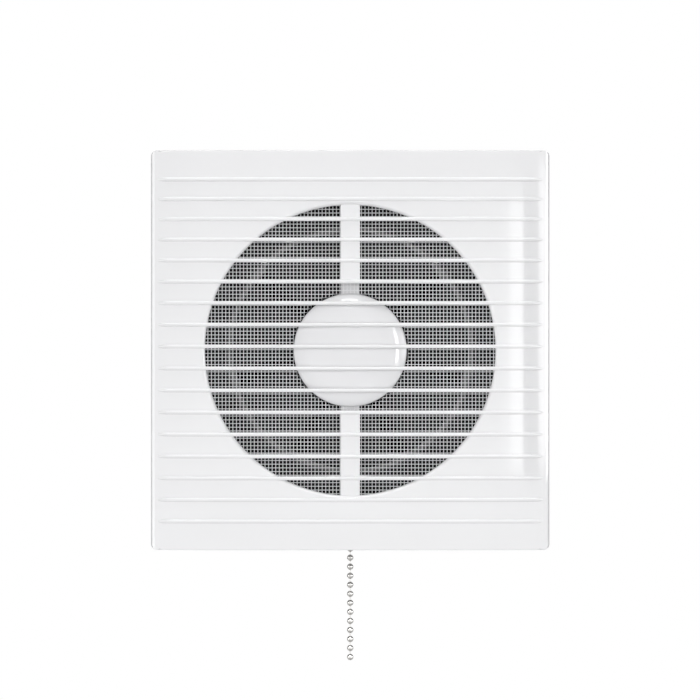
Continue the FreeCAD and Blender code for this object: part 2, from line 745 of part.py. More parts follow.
def make_casing():
    """The casing: a tray on the wall with the bellmouth, a socket for the spigot and the bowl on its arms."""
    casing = new_body("casing")
    drawing = Drawing(new_sketch(casing, "floor_square", "XZ_Plane"))
    drawing.rectangle(-half_casing, half_casing, -half_casing, half_casing, S.casing_corner)
    extrude(casing, "Pad", "floor", drawing.finish(), S.casing_floor)
    drawing = Drawing(new_sketch(casing, "wall_squares", "XZ_Plane"))
    drawing.rectangle(-half_casing, half_casing, -half_casing, half_casing, S.casing_corner)
    inside = half_casing - S.casing_wall
    drawing.rectangle(-inside, inside, -inside, inside)
    extrude(casing, "Pad", "walls", drawing.finish(), S.casing_front)

    back = S.bell_front - S.spigot_wall
    shoulder = S.spigot_seat + S.socket_shoulder
    turn(casing, "Revolution", "air_passage", (bell_rim, -S.bell_front),
         (spigot_bore, -S.bell_front, S.bell_radius), (spigot_bore, -S.spigot_seat),
         (spigot_socket, -S.spigot_seat), (spigot_socket, NOTHING), (spigot_socket + S.socket_rim, NOTHING),
         (spigot_socket + S.socket_rim, -shoulder), (spigot_radius, -shoulder),
         (spigot_radius, -back, S.bell_radius - S.spigot_wall), (bell_rim, -back))
    drawing = Drawing(new_sketch(casing, "passage_circle", "XZ_Plane", S.casing_floor))
    drawing.circle(0, 0, spigot_socket)
    extrude(casing, "Pocket", "passage", drawing.finish(), S.casing_floor)
    drawing = Drawing(new_sketch(casing, "lead_circle", "XZ_Plane", lead_depth))
    drawing.circle(0, 0, spigot_radius + S.seat_clearance)
    extrude(casing, "Pocket", "spigot_lead_in", drawing.finish(), lead_depth)

    turn(casing, "Revolution", "motor_bowl", (bowl_bore, -S.bowl_front), (bowl_radius, -S.bowl_front),
         (bowl_radius, -bowl_back), (S.boss_radius + S.bracket_clearance, -bowl_back),
         (S.boss_radius + S.bracket_clearance, -bowl_inside), (bowl_bore, -bowl_inside))
    drawing = Drawing(new_sketch(casing, "arm_outlines", "XZ_Plane", S.bowl_front - S.arm_depth))
    half_arm = S.arm_width / 2
    for side in (-1, 1):
        drawing.rectangle(-half_arm, half_arm, side * (bowl_bore + S.bowl_wall / 2), side * arm_reach)
    extrude(casing, "Pad", "arms", drawing.finish(), S.arm_depth)

    drawing = Drawing(new_sketch(casing, "socket_circles", "XZ_Plane"))
    socket = S.peg_radius + S.peg_clearance
    for across, up in four_corners(*peg_places):
        drawing.circle(across, up, socket)
        drawing.circle(across, up, socket + S.socket_wall)
    extrude(casing, "Pad", "sockets", drawing.finish(), S.socket_front)
    drawing = Drawing(new_sketch(casing, "clamp_post_outlines", "XZ_Plane"))
    half_clamp = S.clamp_height / 2
    for side in (-1, 1):
        middle = -clamp_left + side * S.clamp_screw_across
        drawing.rectangle(middle - half_clamp, middle + half_clamp, -clamp_down - half_clamp,
                          -clamp_down + half_clamp)
    extrude(casing, "Pad", "clamp_posts", drawing.finish(), S.clamp_post)

    drawing = Drawing(new_sketch(casing, "wall_screw_circles", "XZ_Plane", S.casing_floor))
    for across, up in four_corners(screw_reach, screw_reach):
        drawing.circle(across, up, S.screw_hole_radius)
    drawing.circle(-clamp_left, -entry_down, S.entry_radius)
    extrude(casing, "Pocket", "floor_holes", drawing.finish(), S.casing_floor)

    drawing = Drawing(new_sketch(casing, "motor_bolt_circles", "XZ_Plane", bowl_inside))
    for across, up in bolt_circle():
        drawing.circle(across, up, small_hole)
    extrude(casing, "Pocket", "motor_bolt_holes", drawing.finish(), S.bowl_floor)
    drawing = Drawing(new_sketch(casing, "arm_screw_circles", "XZ_Plane", S.bowl_front))
    for side in (-1, 1):
        drawing.circle(0, side * cap_screw_reach, small_hole)
    extrude(casing, "Pocket", "arm_screw_holes", drawing.finish(), S.arm_depth)
    drawing = Drawing(new_sketch(casing, "clamp_screw_circles", "XZ_Plane", S.clamp_post))
    for side in (-1, 1):
        drawing.circle(-clamp_left + side * S.clamp_screw_across, -clamp_down, small_hole)
        drawing.circle(side * S.switch_screw_across, -switch_middle, small_hole)
    extrude(casing, "Pocket", "screw_pilots", drawing.finish(), S.clamp_post - S.casing_floor / 4)

    drawing = Drawing(new_sketch(casing, "bush_circle", "XY_Plane", -inside))
    drawing.circle(0, -S.chain_front, bush_radius + S.seat_clearance)
    extrude(casing, "Pocket", "bush_hole", drawing.finish(), S.casing_wall)
    keep(casing, "casing")


def make_spigot_sleeve():
    """The sleeve that the duct goes over, pressed into the casing's socket by its slimmer end."""
    sleeve = new_body("spigot_sleeve")
    turn(sleeve, "Revolution", "spigot_tube", (spigot_bore, -S.spigot_seat), (spigot_end, -S.spigot_seat),
         (spigot_end, -S.spigot_lead), (spigot_radius, -S.spigot_lead), (spigot_radius, S.spigot_length),
         (spigot_bore, S.spigot_length))
    keep(sleeve, "spigot_sleeve")


def make_bearing_brackets():
    """Two discs with a boss for the sleeve bearings, one on the bowl's rim and one on its floor."""
    front = new_body("front_bearing_bracket")
    face = S.bowl_front + S.bracket_thickness
    turn(front, "Revolution", "front_bracket_disc", (S.bearing_radius, -S.bowl_front),
         (bowl_radius, -S.bowl_front), (bowl_radius, -face), (S.boss_radius, -face),
         (S.boss_radius, -(face + S.boss_length)), (S.bearing_radius, -(face + S.boss_length)))
    rear = new_body("rear_bearing_bracket")
    inner = bowl_inside + S.bracket_thickness
    turn(rear, "Revolution", "rear_bracket_disc", (S.bearing_radius, -inner),
         (bowl_bore - S.bracket_clearance, -inner), (bowl_bore - S.bracket_clearance, -bowl_inside),
         (S.boss_radius, -bowl_inside), (S.boss_radius, -(bowl_inside - S.boss_length)),
         (S.bearing_radius, -(bowl_inside - S.boss_length)))
    for body, name, level in ((front, "front_bracket", face), (rear, "rear_bracket", inner)):
        drawing = Drawing(new_sketch(body, f"{name}_bolt_circles", "XZ_Plane", level))
        for across, up in bolt_circle():
            drawing.circle(across, up, small_hole)
        extrude(body, "Pocket", f"{name}_bolt_holes", drawing.finish(), S.bracket_thickness)
    keep(front, "front_bearing_bracket")
    keep(rear, "rear_bearing_bracket")


def make_bearings():
    """Sintered sleeves pressed into the brackets' bosses, flush with the bosses' ends."""
    front_end = S.bowl_front + S.bracket_thickness + S.boss_length
    rear_end = bowl_inside - S.boss_length
    for label, front in (("front_bearing", front_end), ("rear_bearing", rear_end + S.bearing_length)):
        sleeve = new_body(label)
        ring(sleeve, "Revolution", f"{label}_sleeve", S.shaft_radius + S.running_clearance,
             S.bearing_radius - S.seat_clearance, front, front - S.bearing_length)
        keep(sleeve, label)


def make_stator():
    """The laminated stator: a round yoke with poles whose shoes reach round the rotor."""
    core = new_body("stator_core")
    rear = S.stator_front - S.stator_length
    outer = bowl_bore - S.stator_clearance
    bore = stator_bore
    ring(core, "Revolution", "yoke", outer - S.yoke_width, outer, S.stator_front, rear)
    ring(core, "Revolution", "shoes", bore, shoe_radius, S.stator_front, rear)
    half_gap = S.shoe_gap / 2
    gap_drawing = Drawing(new_sketch(core, "shoe_gap_outline", "XZ_Plane", S.stator_front))
    gap_drawing.outline((NOTHING, bore / 2 - half_gap), (bore + half_gap, bore + S.shoe_thickness),
                        (bore - half_gap, bore + S.shoe_thickness + half_gap), (-half_gap, bore / 2))
    gap = extrude(core, "Pocket", "shoe_gap", gap_drawing.finish(), S.stator_length)
    around_axis(core, "shoe_gaps", gap, S.pole_count)
    half_pole = S.pole_width / 2
    drawing = Drawing(new_sketch(core, "pole_outline", "XZ_Plane", rear))
    drawing.rectangle(-half_pole, half_pole, shoe_radius - S.shoe_thickness / 2, outer - S.yoke_width / 2)
    pole = extrude(core, "Pad", "pole", drawing.finish(), S.stator_length)
    around_axis(core, "poles", pole, S.pole_count)
    drawing = Drawing(new_sketch(core, "yoke_bolt_circles", "XZ_Plane", S.stator_front))
    for across, up in bolt_circle():
        drawing.circle(across, up, small_hole)
    extrude(core, "Pocket", "yoke_bolt_holes", drawing.finish(), S.stator_length)
    keep(core, "stator_core")


def make_coils():
    """Four moulded bobbins on the poles, each with its wound coil."""
    middle = -(S.stator_front - S.stator_length / 2)
    across = S.pole_width / 2 + S.bobbin_gap
    along = S.stator_length / 2 + S.bobbin_gap
    base = shoe_radius + S.bobbin_gap

    def frame(body, name, low, height, inner, outer, *rounding):
        """A rectangular tube round the upper pole, padded outwards from a height above the axis."""
        drawing = Drawing(new_sketch(body, f"{name}_outline", "XY_Plane", low))
        drawing.rectangle(-(across + inner), across + inner, middle - along - inner, middle + along + inner)
        drawing.rectangle(-(across + outer), across + outer, middle - along - outer, middle + along + outer,
                          *rounding)
        return extrude(body, "Pad", name, drawing.finish(), height)

    bobbin = new_body("coil_bobbins")
    flange = S.bobbin_wall + S.coil_gap + S.coil_build
    tube = frame(bobbin, "bobbin_tube", base, S.bobbin_flange + S.coil_gap * 2 + S.coil_height, NOTHING,
                 S.bobbin_wall)
    doc.recompute()
    lower = frame(bobbin, "bobbin_flange_ring", base, S.bobbin_flange, NOTHING, flange)
    doc.recompute()
    pattern = around_axis(bobbin, "bobbins", lower, S.pole_count)
    pattern.Originals = [tube, lower]
    keep(bobbin, "coil_bobbins")

    winding = new_body("coil_windings")
    coil = frame(winding, "coil", base + S.bobbin_flange + S.coil_gap, S.coil_height,
                 S.bobbin_wall + S.coil_gap, flange, S.coil_rounding)
    around_axis(winding, "coils", coil, S.pole_count)
    keep(winding, "coil_windings")


def make_motor_bolts():
    """Two long bolts from the front bracket through the yoke and the rear bracket into the bowl's floor."""
    face = S.bowl_front + S.bracket_thickness
    bolts = [small_screw(f"motor_bolt_{number}", across, face, up, face - bowl_back)
             for number, (across, up) in enumerate(bolt_circle(), start=1)]
    keep(group("motor_bolts", bolts), "motor_bolts")


def make_rotor():
    """The rotor's iron, its two cast end rings, the shaft and the washers against the bearings."""
    front = S.stator_front + S.rotor_overlap
    rear = S.stator_front - S.stator_length - S.rotor_overlap
    bore = S.shaft_radius + S.seat_clearance
    rotor = new_body("rotor")
    ring(rotor, "Revolution", "rotor_iron", bore, rotor_radius, front, rear)
    keep(rotor, "rotor")
    rings = []
    for name, edge in (("front_end_ring", front + S.end_ring_thickness), ("rear_end_ring", rear)):
        body = new_body(name)
        ring(body, "Revolution", f"{name}_turned", S.end_ring_inner, rotor_radius - S.end_ring_inset, edge,
             edge - S.end_ring_thickness)
        rings.append(body)
    keep(group("rotor_end_rings", rings), "rotor_end_rings")
    shaft = cylinder("shaft", S.shaft_radius, (0, -S.shaft_front, 0), S.shaft_length)
    keep(shaft, "shaft")
    front_bearing_back = S.bowl_front + S.bracket_thickness + S.boss_length - S.bearing_length
    rear_bearing_front = bowl_inside - S.boss_length + S.bearing_length
    washers = []
    for name, edge in (("front_washer", front_bearing_back - S.washer_gap),
                       ("rear_washer", rear_bearing_front + S.washer_gap + S.washer_thickness)):
        body = new_body(name)
        ring(body, "Revolution", f"{name}_turned", bore, S.washer_radius, edge, edge - S.washer_thickness)
        washers.append(body)
    keep(group("thrust_washers", washers), "thrust_washers")


def make_impeller():
    """The impeller: a cup that closes round the motor bowl, with twisted blades out to the spigot's bore."""
    hub_rear = S.hub_front - S.hub_length
    hub_bore = S.hub_radius - S.hub_wall
    bore = S.shaft_radius + S.seat_clearance
    boss_rear = -(S.hub_boss_front + S.hub_boss_length)
    hub = new_body("impeller_hub")
    turn(hub, "Revolution", "hub_cup", (hub_bore, -S.hub_front), (S.hub_radius, -S.hub_front),
         (S.hub_radius, -hub_rear, S.hub_rounding), (S.hub_boss_radius, -hub_rear),
         (S.hub_boss_radius, -boss_rear), (bore, -boss_rear), (bore, S.hub_boss_front),
         (S.hub_boss_radius, S.hub_boss_front), (S.hub_boss_radius, -(hub_rear + S.hub_floor)),
         (hub_bore, -(hub_rear + S.hub_floor)))

    root = S.hub_radius - S.blade_overrun
    tip = spigot_bore - S.tip_clearance
    half_span = tangent(S.blade_span_angle / 2)
    room = new_body("blade_room")
    ring(room, "Revolution", "blade_room_ring", S.hub_radius - S.hub_wall / 2, tip,
         S.blade_front + S.blade_overrun, hub_rear)

    def blade_section(body, name, plane, depth):
        """The blade's curved section at a distance from the axis, its leading edge to the left in front."""
        drawing = Drawing(new_sketch(body, name, "XY_Plane", plane))
        reach = plane * half_span
        lead = -S.blade_front
        trail = lead + depth
        middle = lead + depth / 2 - S.blade_camber
        drawing.outline((-reach, lead), Via(NOTHING, middle), (reach, trail),
                        (reach, trail + S.blade_thickness), Via(NOTHING, middle + S.blade_thickness),
                        (-reach, lead + S.blade_thickness))
        return drawing.finish()

    blades = []
    for number in range(int(S.blade_count)):
        name = f"blade_{number + 1}"
        blade = new_body(f"{name}_body")
        loft = blade.newObject("PartDesign::AdditiveLoft", f"{name}_loft")
        loft.Profile = blade_section(blade, f"{name}_root", root, S.blade_root_depth)
        loft.Sections = [blade_section(blade, f"{name}_tip", tip + S.blade_overrun, S.blade_tip_depth)]
        blade.Tip = loft
        blade.Placement.Rotation = FreeCAD.Rotation(Vector(0, 1, 0), 1)
        bind(blade, "Placement.Rotation.Angle", 360 * (as_size(number) + 0.5) / S.blade_count)
        blades.append(common(name, blade, room))
    keep(fuse("impeller", hub, *blades, refine=False), "impeller")

    prism = doc.addObject("Part::Prism", "nut_blank")
    prism.Polygon = 6
    bind(prism, "Circumradius", S.nut_radius)
    bind(prism, "Height", S.nut_thickness)
    put(prism, (NOTHING, -boss_rear, NOTHING), Vector(0, 1, 0))
    hole = cylinder("nut_hole", bore, (NOTHING, -boss_rear, NOTHING), S.nut_thickness)
    keep(cut("impeller_nut", prism, hole), "impeller_nut")


# Heights of the switch and the chain, all measured up from the casing's bottom
switch_low = half_casing - S.casing_wall - S.switch_gap
switch_high = switch_low - S.switch_height
switch_middle = (switch_low + switch_high) / 2
switch_rear = S.casing_floor
switch_front = switch_rear + S.switch_depth
chamber_low = switch_low - S.switch_wall
chamber_high = switch_high + S.switch_wall
slider_top = chamber_high + S.slide_clearance
head_bead = half_casing - S.bead_seat
stem_low = head_bead + S.stem_overhang
bush_bore = S.stem_radius + S.slide_clearance
bush_radius = bush_bore + S.bush_wall


def make_switch():
    """The pull switch: a housing with its lid, a sliding head on a stem, the spring and two terminals."""
    half_width = S.switch_width / 2
    half_head = S.slider_width / 2 + S.slide_clearance
    chamber_depth = S.slider_depth + S.slide_clearance * 2
    chamber_rear = S.chain_front - chamber_depth / 2
    housing = new_body("switch_housing")
    drawing = Drawing(new_sketch(housing, "housing_outline", "XZ_Plane", switch_rear))
    drawing.rectangle(-half_width, half_width, -switch_low, -switch_high)
    extrude(housing, "Pad", "housing_block", drawing.finish(), S.switch_depth)
    drawing = Drawing(new_sketch(housing, "chamber_outline", "XZ_Plane", switch_front))
    drawing.rectangle(-half_head, half_head, -chamber_low, -chamber_high)
    extrude(housing, "Pocket", "chamber", drawing.finish(), switch_front - chamber_rear)
    drawing = Drawing(new_sketch(housing, "stem_hole_circle", "XY_Plane", -chamber_low))
    drawing.circle(0, -S.chain_front, bush_bore)
    extrude(housing, "Pocket", "stem_hole", drawing.finish(), S.switch_wall)
    drawing = Drawing(new_sketch(housing, "housing_screw_circles", "XZ_Plane", switch_front))
    for side in (-1, 1):
        drawing.circle(side * S.switch_screw_across, -switch_middle, small_hole)
    extrude(housing, "Pocket", "housing_screw_holes", drawing.finish(), S.switch_depth)
    keep(housing, "switch_housing")

    lid = new_body("switch_lid")
    drawing = Drawing(new_sketch(lid, "lid_outline", "XZ_Plane", switch_front))
    drawing.rectangle(-half_width, half_width, -switch_low, -switch_high)
    for side in (-1, 1):
        drawing.circle(side * S.switch_screw_across, -switch_middle, small_hole)
    extrude(lid, "Pad", "lid_plate", drawing.finish(), S.switch_cover_thickness)
    keep(lid, "switch_lid")

    lid_front = switch_front + S.switch_cover_thickness
    screws = [small_screw(f"switch_screw_{number}", side * S.switch_screw_across, lid_front, -switch_middle,
                          lid_front - S.casing_floor / 2)
              for number, side in ((1, -1), (2, 1))]
    keep(group("switch_screws", screws), "switch_screws")

    half_slider = S.slider_width / 2
    slider_low = slider_top + S.slider_height
    slider_rear = S.chain_front - S.slider_depth / 2
    head = box("slider_head", (-half_slider, -(slider_rear + S.slider_depth), -slider_low), S.slider_width,
               S.slider_depth, S.slider_height)
    stem = cylinder("slider_stem", S.stem_radius, (0, -S.chain_front, -stem_low), stem_low - slider_low,
                    Vector(0, 0, 1))
    pocket = doc.addObject("Part::Sphere", "bead_pocket")
    bind(pocket, "Radius", S.bead_radius + S.bead_play)
    put(pocket, (NOTHING, -S.chain_front, -head_bead))
    throat = cylinder("bead_throat", S.bead_hole, (0, -S.chain_front, -stem_low), S.stem_overhang,
                      Vector(0, 0, 1))
    keep(cut("switch_slider", fuse("slider_blank", head, stem), pocket, throat), "switch_slider")
    make_spring(slider_low)

    terminal_top = switch_high + S.terminal_drop
    blades = [box(f"terminal_{number}", (left, -(S.chain_front + S.terminal_width / 2),
                                         -(terminal_top + S.terminal_thickness)),
                  S.terminal_length, S.terminal_width, S.terminal_thickness)
              for number, left in ((1, -half_width - S.terminal_length), (2, half_width))]
    keep(group("switch_terminals", blades), "switch_terminals")


def make_spring(slider_low):
    """The return spring round the stem, wound on quarter turns between the head and the chamber's floor."""
    wire = S.spring_wire.number
    radius = S.stem_radius.number + S.spring_clearance.number + wire
    low = -chamber_low.number + wire + S.spring_gap.number
    high = -slider_low.number - wire - S.spring_gap.number
    quarters = 4 * int(S.spring_turns)

    def point(quarter):
        angle = quarter * math.pi / 2
        height = low + (high - low) * quarter / quarters
        return Vector(radius * math.cos(angle), radius * math.sin(angle), height)

    arcs = [Part.Arc(point(step), point(step + 0.5), point(step + 1)).toShape() for step in range(quarters)]
    path = Part.Wire(arcs)
    start = point(0)
    profile = Part.Wire(Part.makeCircle(wire, start, arcs[0].tangentAt(arcs[0].FirstParameter)))
    spring = doc.addObject("Part::Feature", "switch_spring")
    spring.Shape = path.makePipeShell([profile], True, False)
    spring.Placement.Base = Vector(0, -S.chain_front.number, 0)
    pitch = (high - low) / int(S.spring_turns)
    print("spring coil gap", round(pitch - 2 * wire, 2), "volume", round(spring.Shape.Volume, 2),
          "wire volume", round(math.pi * wire ** 2 * path.Length, 2))
    keep(spring, "switch_spring")


def make_chain_bush():
    """The flanged bush in the casing's bottom wall that guides the stem and the chain."""
    bush = new_body("chain_bush")
    low = half_casing + S.bush_flange_height
    drawing = Drawing(new_sketch(bush, "bush_circles", "XY_Plane", -low))
    drawing.circle(0, -S.chain_front, bush_bore)
    drawing.circle(0, -S.chain_front, bush_radius)
    extrude(bush, "Pad", "bush_tube", drawing.finish(), S.bush_flange_height + S.casing_wall)
    drawing = Drawing(new_sketch(bush, "flange_circles", "XY_Plane", -low))
    drawing.circle(0, -S.chain_front, bush_bore)
    drawing.circle(0, -S.chain_front, bush_radius + S.bush_flange)
    extrude(bush, "Pad", "bush_flange_ring", drawing.finish(), S.bush_flange_height)
    keep(bush, "chain_bush")


def make_chain():
    """A bead chain: hollow beads on short wires with a ball at each end, loose inside the beads."""
    def bead(name, height):
        shell = doc.addObject("Part::Sphere", f"{name}_shell")
        bind(shell, "Radius", S.bead_radius)
        put(shell, (NOTHING, -S.chain_front, height))
        hollow = doc.addObject("Part::Sphere", f"{name}_hollow")
        bind(hollow, "Radius", S.bead_radius - S.bead_shell)
        put(hollow, (NOTHING, -S.chain_front, height))
        hole = cylinder(f"{name}_hole", S.bead_hole, (0, -S.chain_front, height - S.bead_radius),
                        S.bead_radius * 2, Vector(0, 0, 1))
        return cut(name, shell, hollow, hole)

    def link(name, height):
        """The wire that hangs from the bead at a height into the next bead below."""
        ends = []
        for end, level in (("top", height - S.link_seat), ("low", height - S.bead_pitch + S.link_seat)):
            ball = doc.addObject("Part::Sphere", f"{name}_{end}_ball")
            bind(ball, "Radius", S.link_ball)
            put(ball, (NOTHING, -S.chain_front, level))
            ends.append(ball)
        wire = cylinder(f"{name}_wire", S.link_wire, (0, -S.chain_front, height - S.bead_pitch + S.link_seat),
                        S.bead_pitch - S.link_seat * 2, Vector(0, 0, 1))
        return fuse(name, *ends, wire)

    def height(number):
        return -head_bead - S.bead_pitch * number

    head_count, joint_count = 2, 3
    first_tail = head_count + joint_count
    last = first_tail + int(S.tail_beads) - 1
    head = range(head_count)
    keep(group("chain_head_beads", [bead(f"head_bead_{n}", height(n)) for n in head]), "chain_head_beads")
    keep(group("chain_head_links", [link(f"head_link_{n}", height(n)) for n in head]), "chain_head_links")
    for n in range(head_count, first_tail):
        keep(bead(f"joint_bead_{n}", height(n)), f"chain_bead_{n - head_count + 1}")
        keep(link(f"joint_link_{n}", height(n)), f"chain_link_{n - head_count + 1}")
    tail = range(first_tail, last + 1)
    keep(group("chain_tail_beads", [bead(f"tail_bead_{n}", height(n)) for n in tail]), "chain_tail_beads")
    keep(group("chain_tail_links", [link(f"tail_link_{n}", height(n)) for n in tail[:-1]]),
         "chain_tail_links")
    print("chain hangs to", round(height(last).number - S.bead_radius.number, 2),
          "first joint at", round((height(1) - S.bead_pitch + S.link_seat).number, 3))


def make_terminal_block():
    """The screw terminals for the supply: a stepped block with wire bores and brass screws from the front."""
    left = -block_left - S.block_width / 2
    low = -block_down - S.block_height / 2
    rear = S.casing_floor
    front = rear + S.block_depth
    step = front - S.block_step
    block = new_body("terminal_block")
    drawing = Drawing(new_sketch(block, "block_section", "YZ_Plane", left))
    shoulder = S.block_height / 4
    drawing.outline((-rear, low), (-step, low), (-step, low + shoulder), (-front, low + shoulder),
                    (-front, low + S.block_height - shoulder), (-step, low + S.block_height - shoulder),
                    (-step, low + S.block_height), (-rear, low + S.block_height))
    extrude(block, "Pad", "block_bar", drawing.finish(), S.block_width)
    ways = [-block_left + (number - (int(S.block_ways) - 1) / 2) * S.block_way_pitch
            for number in range(int(S.block_ways))]
    drawing = Drawing(new_sketch(block, "wire_circles", "XY_Plane", low + S.block_height))
    for across in ways:
        drawing.circle(across, -(rear + step) / 2, S.block_bore)
    extrude(block, "Pocket", "wire_bores", drawing.finish(), S.block_height)
    drawing = Drawing(new_sketch(block, "terminal_screw_circles", "XZ_Plane", front))
    for across in ways:
        drawing.circle(across, -block_down, S.block_screw_radius + S.small_screw_clearance)
    extrude(block, "Pocket", "terminal_screw_wells", drawing.finish(), front - (rear + step) / 2)
    keep(block, "terminal_block")
    screw_rear = (rear + step) / 2 + S.block_bore + S.small_screw_clearance
    screws = [cylinder(f"terminal_screw_{number}", S.block_screw_radius,
                       (across, -(screw_rear + S.block_screw_length), -block_down), S.block_screw_length)
              for number, across in enumerate(ways, start=1)]
    keep(group("terminal_screws", screws), "terminal_screws")


def make_cable_clamp():
    """The bar that holds the supply cable down on two posts, its two screws and the rubber entry grommet."""
    bar = new_body("cable_clamp")
    drawing = Drawing(new_sketch(bar, "bar_outline", "XZ_Plane", S.clamp_post))
    half_width, half_height = S.clamp_width / 2, S.clamp_height / 2
    drawing.rectangle(-clamp_left - half_width, -clamp_left + half_width, -clamp_down - half_height,
                      -clamp_down + half_height, S.clamp_thickness / 2)
    for side in (-1, 1):
        drawing.circle(-clamp_left + side * S.clamp_screw_across, -clamp_down, small_hole)
    extrude(bar, "Pad", "clamp_bar", drawing.finish(), S.clamp_thickness)
    keep(bar, "cable_clamp")
    screws = [small_screw(f"clamp_screw_{number}", -clamp_left + side * S.clamp_screw_across,
                          S.clamp_post + S.clamp_thickness, -clamp_down, S.clamp_screw_length)
              for number, side in ((1, -1), (2, 1))]
    keep(group("clamp_screws", screws), "clamp_screws")

    neck = S.entry_radius - S.grommet_groove
    lip = S.entry_radius + S.grommet_lip
    grommet = new_body("cable_grommet")
    drawing = Drawing(new_sketch(grommet, "grommet_neck_circles", "XZ_Plane"))
    drawing.circle(-clamp_left, -entry_down, S.grommet_bore)
    drawing.circle(-clamp_left, -entry_down, neck)
    extrude(grommet, "Pad", "grommet_neck", drawing.finish(), S.casing_floor + S.grommet_lip_height)
    drawing = Drawing(new_sketch(grommet, "grommet_lip_circles", "XZ_Plane", S.casing_floor))
    drawing.circle(-clamp_left, -entry_down, S.grommet_bore)
    drawing.circle(-clamp_left, -entry_down, lip)
    extrude(grommet, "Pad", "grommet_lip_ring", drawing.finish(), S.grommet_lip_height)
    keep(grommet, "cable_grommet")


make_front_panel()
make_insect_net()
make_net_frame()
make_motor_cap()
make_cap_screws()
make_casing()
make_spigot_sleeve()
make_bearing_brackets()
make_bearings()
make_stator()
make_coils()
make_motor_bolts()
make_rotor()
make_impeller()
make_switch()
make_chain_bush()
make_chain()
make_terminal_block()
make_cable_clamp()
doc.recompute()

failed = [thing.Name for thing in doc.Objects if "Invalid" in thing.State or "Error" in thing.State]
unsound = [part.Label for part in SUB_PARTS if part.Shape.isNull() or not part.Shape.isValid()]
if failed or unsound:
    raise RuntimeError(f"failed objects {failed}, unsound shapes {unsound}")

os.makedirs("parts", exist_ok=True)
for part in SUB_PARTS:
    part.Shape.exportStep(f"parts/{part.Label}.step")
    print(part.Label, len(part.Shape.Solids), "solids", round(part.Shape.Volume, 1), "mm3")
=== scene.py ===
import bpy
import bmesh
import math
from mathutils import Matrix, Vector


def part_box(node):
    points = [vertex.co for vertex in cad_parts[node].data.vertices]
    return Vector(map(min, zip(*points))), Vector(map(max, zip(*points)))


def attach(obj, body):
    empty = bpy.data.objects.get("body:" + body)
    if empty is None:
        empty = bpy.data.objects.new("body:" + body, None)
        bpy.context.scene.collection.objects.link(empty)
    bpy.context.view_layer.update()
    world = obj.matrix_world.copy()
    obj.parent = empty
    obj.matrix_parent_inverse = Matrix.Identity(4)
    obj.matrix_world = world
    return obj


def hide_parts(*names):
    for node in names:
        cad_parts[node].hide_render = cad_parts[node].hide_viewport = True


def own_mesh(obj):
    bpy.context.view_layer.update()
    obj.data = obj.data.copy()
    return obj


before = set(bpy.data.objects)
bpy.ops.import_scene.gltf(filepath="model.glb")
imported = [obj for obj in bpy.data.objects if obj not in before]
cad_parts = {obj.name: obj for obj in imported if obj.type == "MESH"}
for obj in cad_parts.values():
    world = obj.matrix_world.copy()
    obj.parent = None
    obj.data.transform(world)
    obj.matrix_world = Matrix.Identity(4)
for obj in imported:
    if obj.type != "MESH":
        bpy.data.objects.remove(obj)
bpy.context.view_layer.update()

# Casing and spigot. A dark moulding screwed to the wall: a shallow tray with the bellmouth and the motor's
# bowl on two arms, and the sleeve for the duct pressed in behind. Graphite plastic with a fine mould grain;
# its colour is set darker than the plastic's own, as painted shade for the dark inside of the fan.


class Value:
    """A shader socket on which Python's operators add Math nodes."""

    def __init__(self, nodes, socket):
        self.nodes = nodes
        self.socket = socket

    def math(self, operation, first, second=0.0):
        return self.nodes.node("ShaderNodeMath", {"operation": operation}, {0: first, 1: second})

    def __add__(self, other):
        return self.math("ADD", self, other)

    def __radd__(self, other):
        return self.math("ADD", other, self)

    def __sub__(self, other):
        return self.math("SUBTRACT", self, other)

    def __rsub__(self, other):
        return self.math("SUBTRACT", other, self)

    def __mul__(self, other):
        return self.math("MULTIPLY", self, other)

    def __rmul__(self, other):
        return self.math("MULTIPLY", other, self)

    def __gt__(self, other):
        return self.math("GREATER_THAN", self, other)

    def sine(self):
        return self.math("SINE", self)


class Nodes:
    """The nodes of one material or of the studio's surroundings."""

    def __init__(self, tree):
        self.tree = tree

    def node(self, kind, settings=None, inputs=None, out=0):
        made = self.tree.nodes.new(kind)
        for name, setting in (settings or {}).items():
            if name == "stops":
                ramp = made.color_ramp
                while len(ramp.elements) < len(setting):
                    ramp.elements.new(1.0)
                for element, (place, colour) in zip(ramp.elements, setting):
                    element.position = place
                    element.color = (*colour, 1.0)
            else:
                setattr(made, name, setting)
        for name, given in (inputs or {}).items():
            self.feed(made.inputs[name], given)
        return Value(self, made.outputs[out])

    def feed(self, socket, given):
        if isinstance(given, Value):
            self.tree.links.new(given.socket, socket)
        else:
            socket.default_value = given


class Finish(Nodes):
    """A material on the piece's own coordinates: a Principled shader and what varies over the surface."""

    def __init__(self, name, **steady):
        self.material = bpy.data.materials.new(name)
        self.material.use_nodes = True
        super().__init__(self.material.node_tree)
        self.shader = self.tree.nodes["Principled BSDF"]
        for socket, number in steady.items():
            self.shader.inputs[socket.replace("_", " ")].default_value = number
        self.place = self.node("ShaderNodeTexCoord", out="Object")

    def grain(self, scale, detail=2.0, stretch=(1.0, 1.0, 1.0)):
        """Noise from 0 to 1 with so many cells to the metre, drawn out along an axis by a small stretch."""
        spread = self.node("ShaderNodeMapping", {}, {"Vector": self.place, "Scale": stretch})
        return self.node("ShaderNodeTexNoise", {}, {"Vector": spread, "Scale": scale, "Detail": detail})

    def axis(self, name):
        return self.node("ShaderNodeSeparateXYZ", {}, {"Vector": self.place}, out=name)

    def colour(self, amount, *stops):
        """The base colour along a ramp of (place, colour) stops."""
        ramp = self.node("ShaderNodeValToRGB", {"stops": stops}, {"Fac": amount}, out="Color")
        self.feed(self.shader.inputs["Base Color"], ramp)

    def rough(self, amount, low, high):
        self.feed(self.shader.inputs["Roughness"], amount * (high - low) + low)

    def relief(self, height, depth):
        """Bumps of a depth in metres."""
        bump = self.node("ShaderNodeBump", {}, {"Height": height, "Strength": 1.0, "Distance": depth})
        self.feed(self.shader.inputs["Normal"], bump)


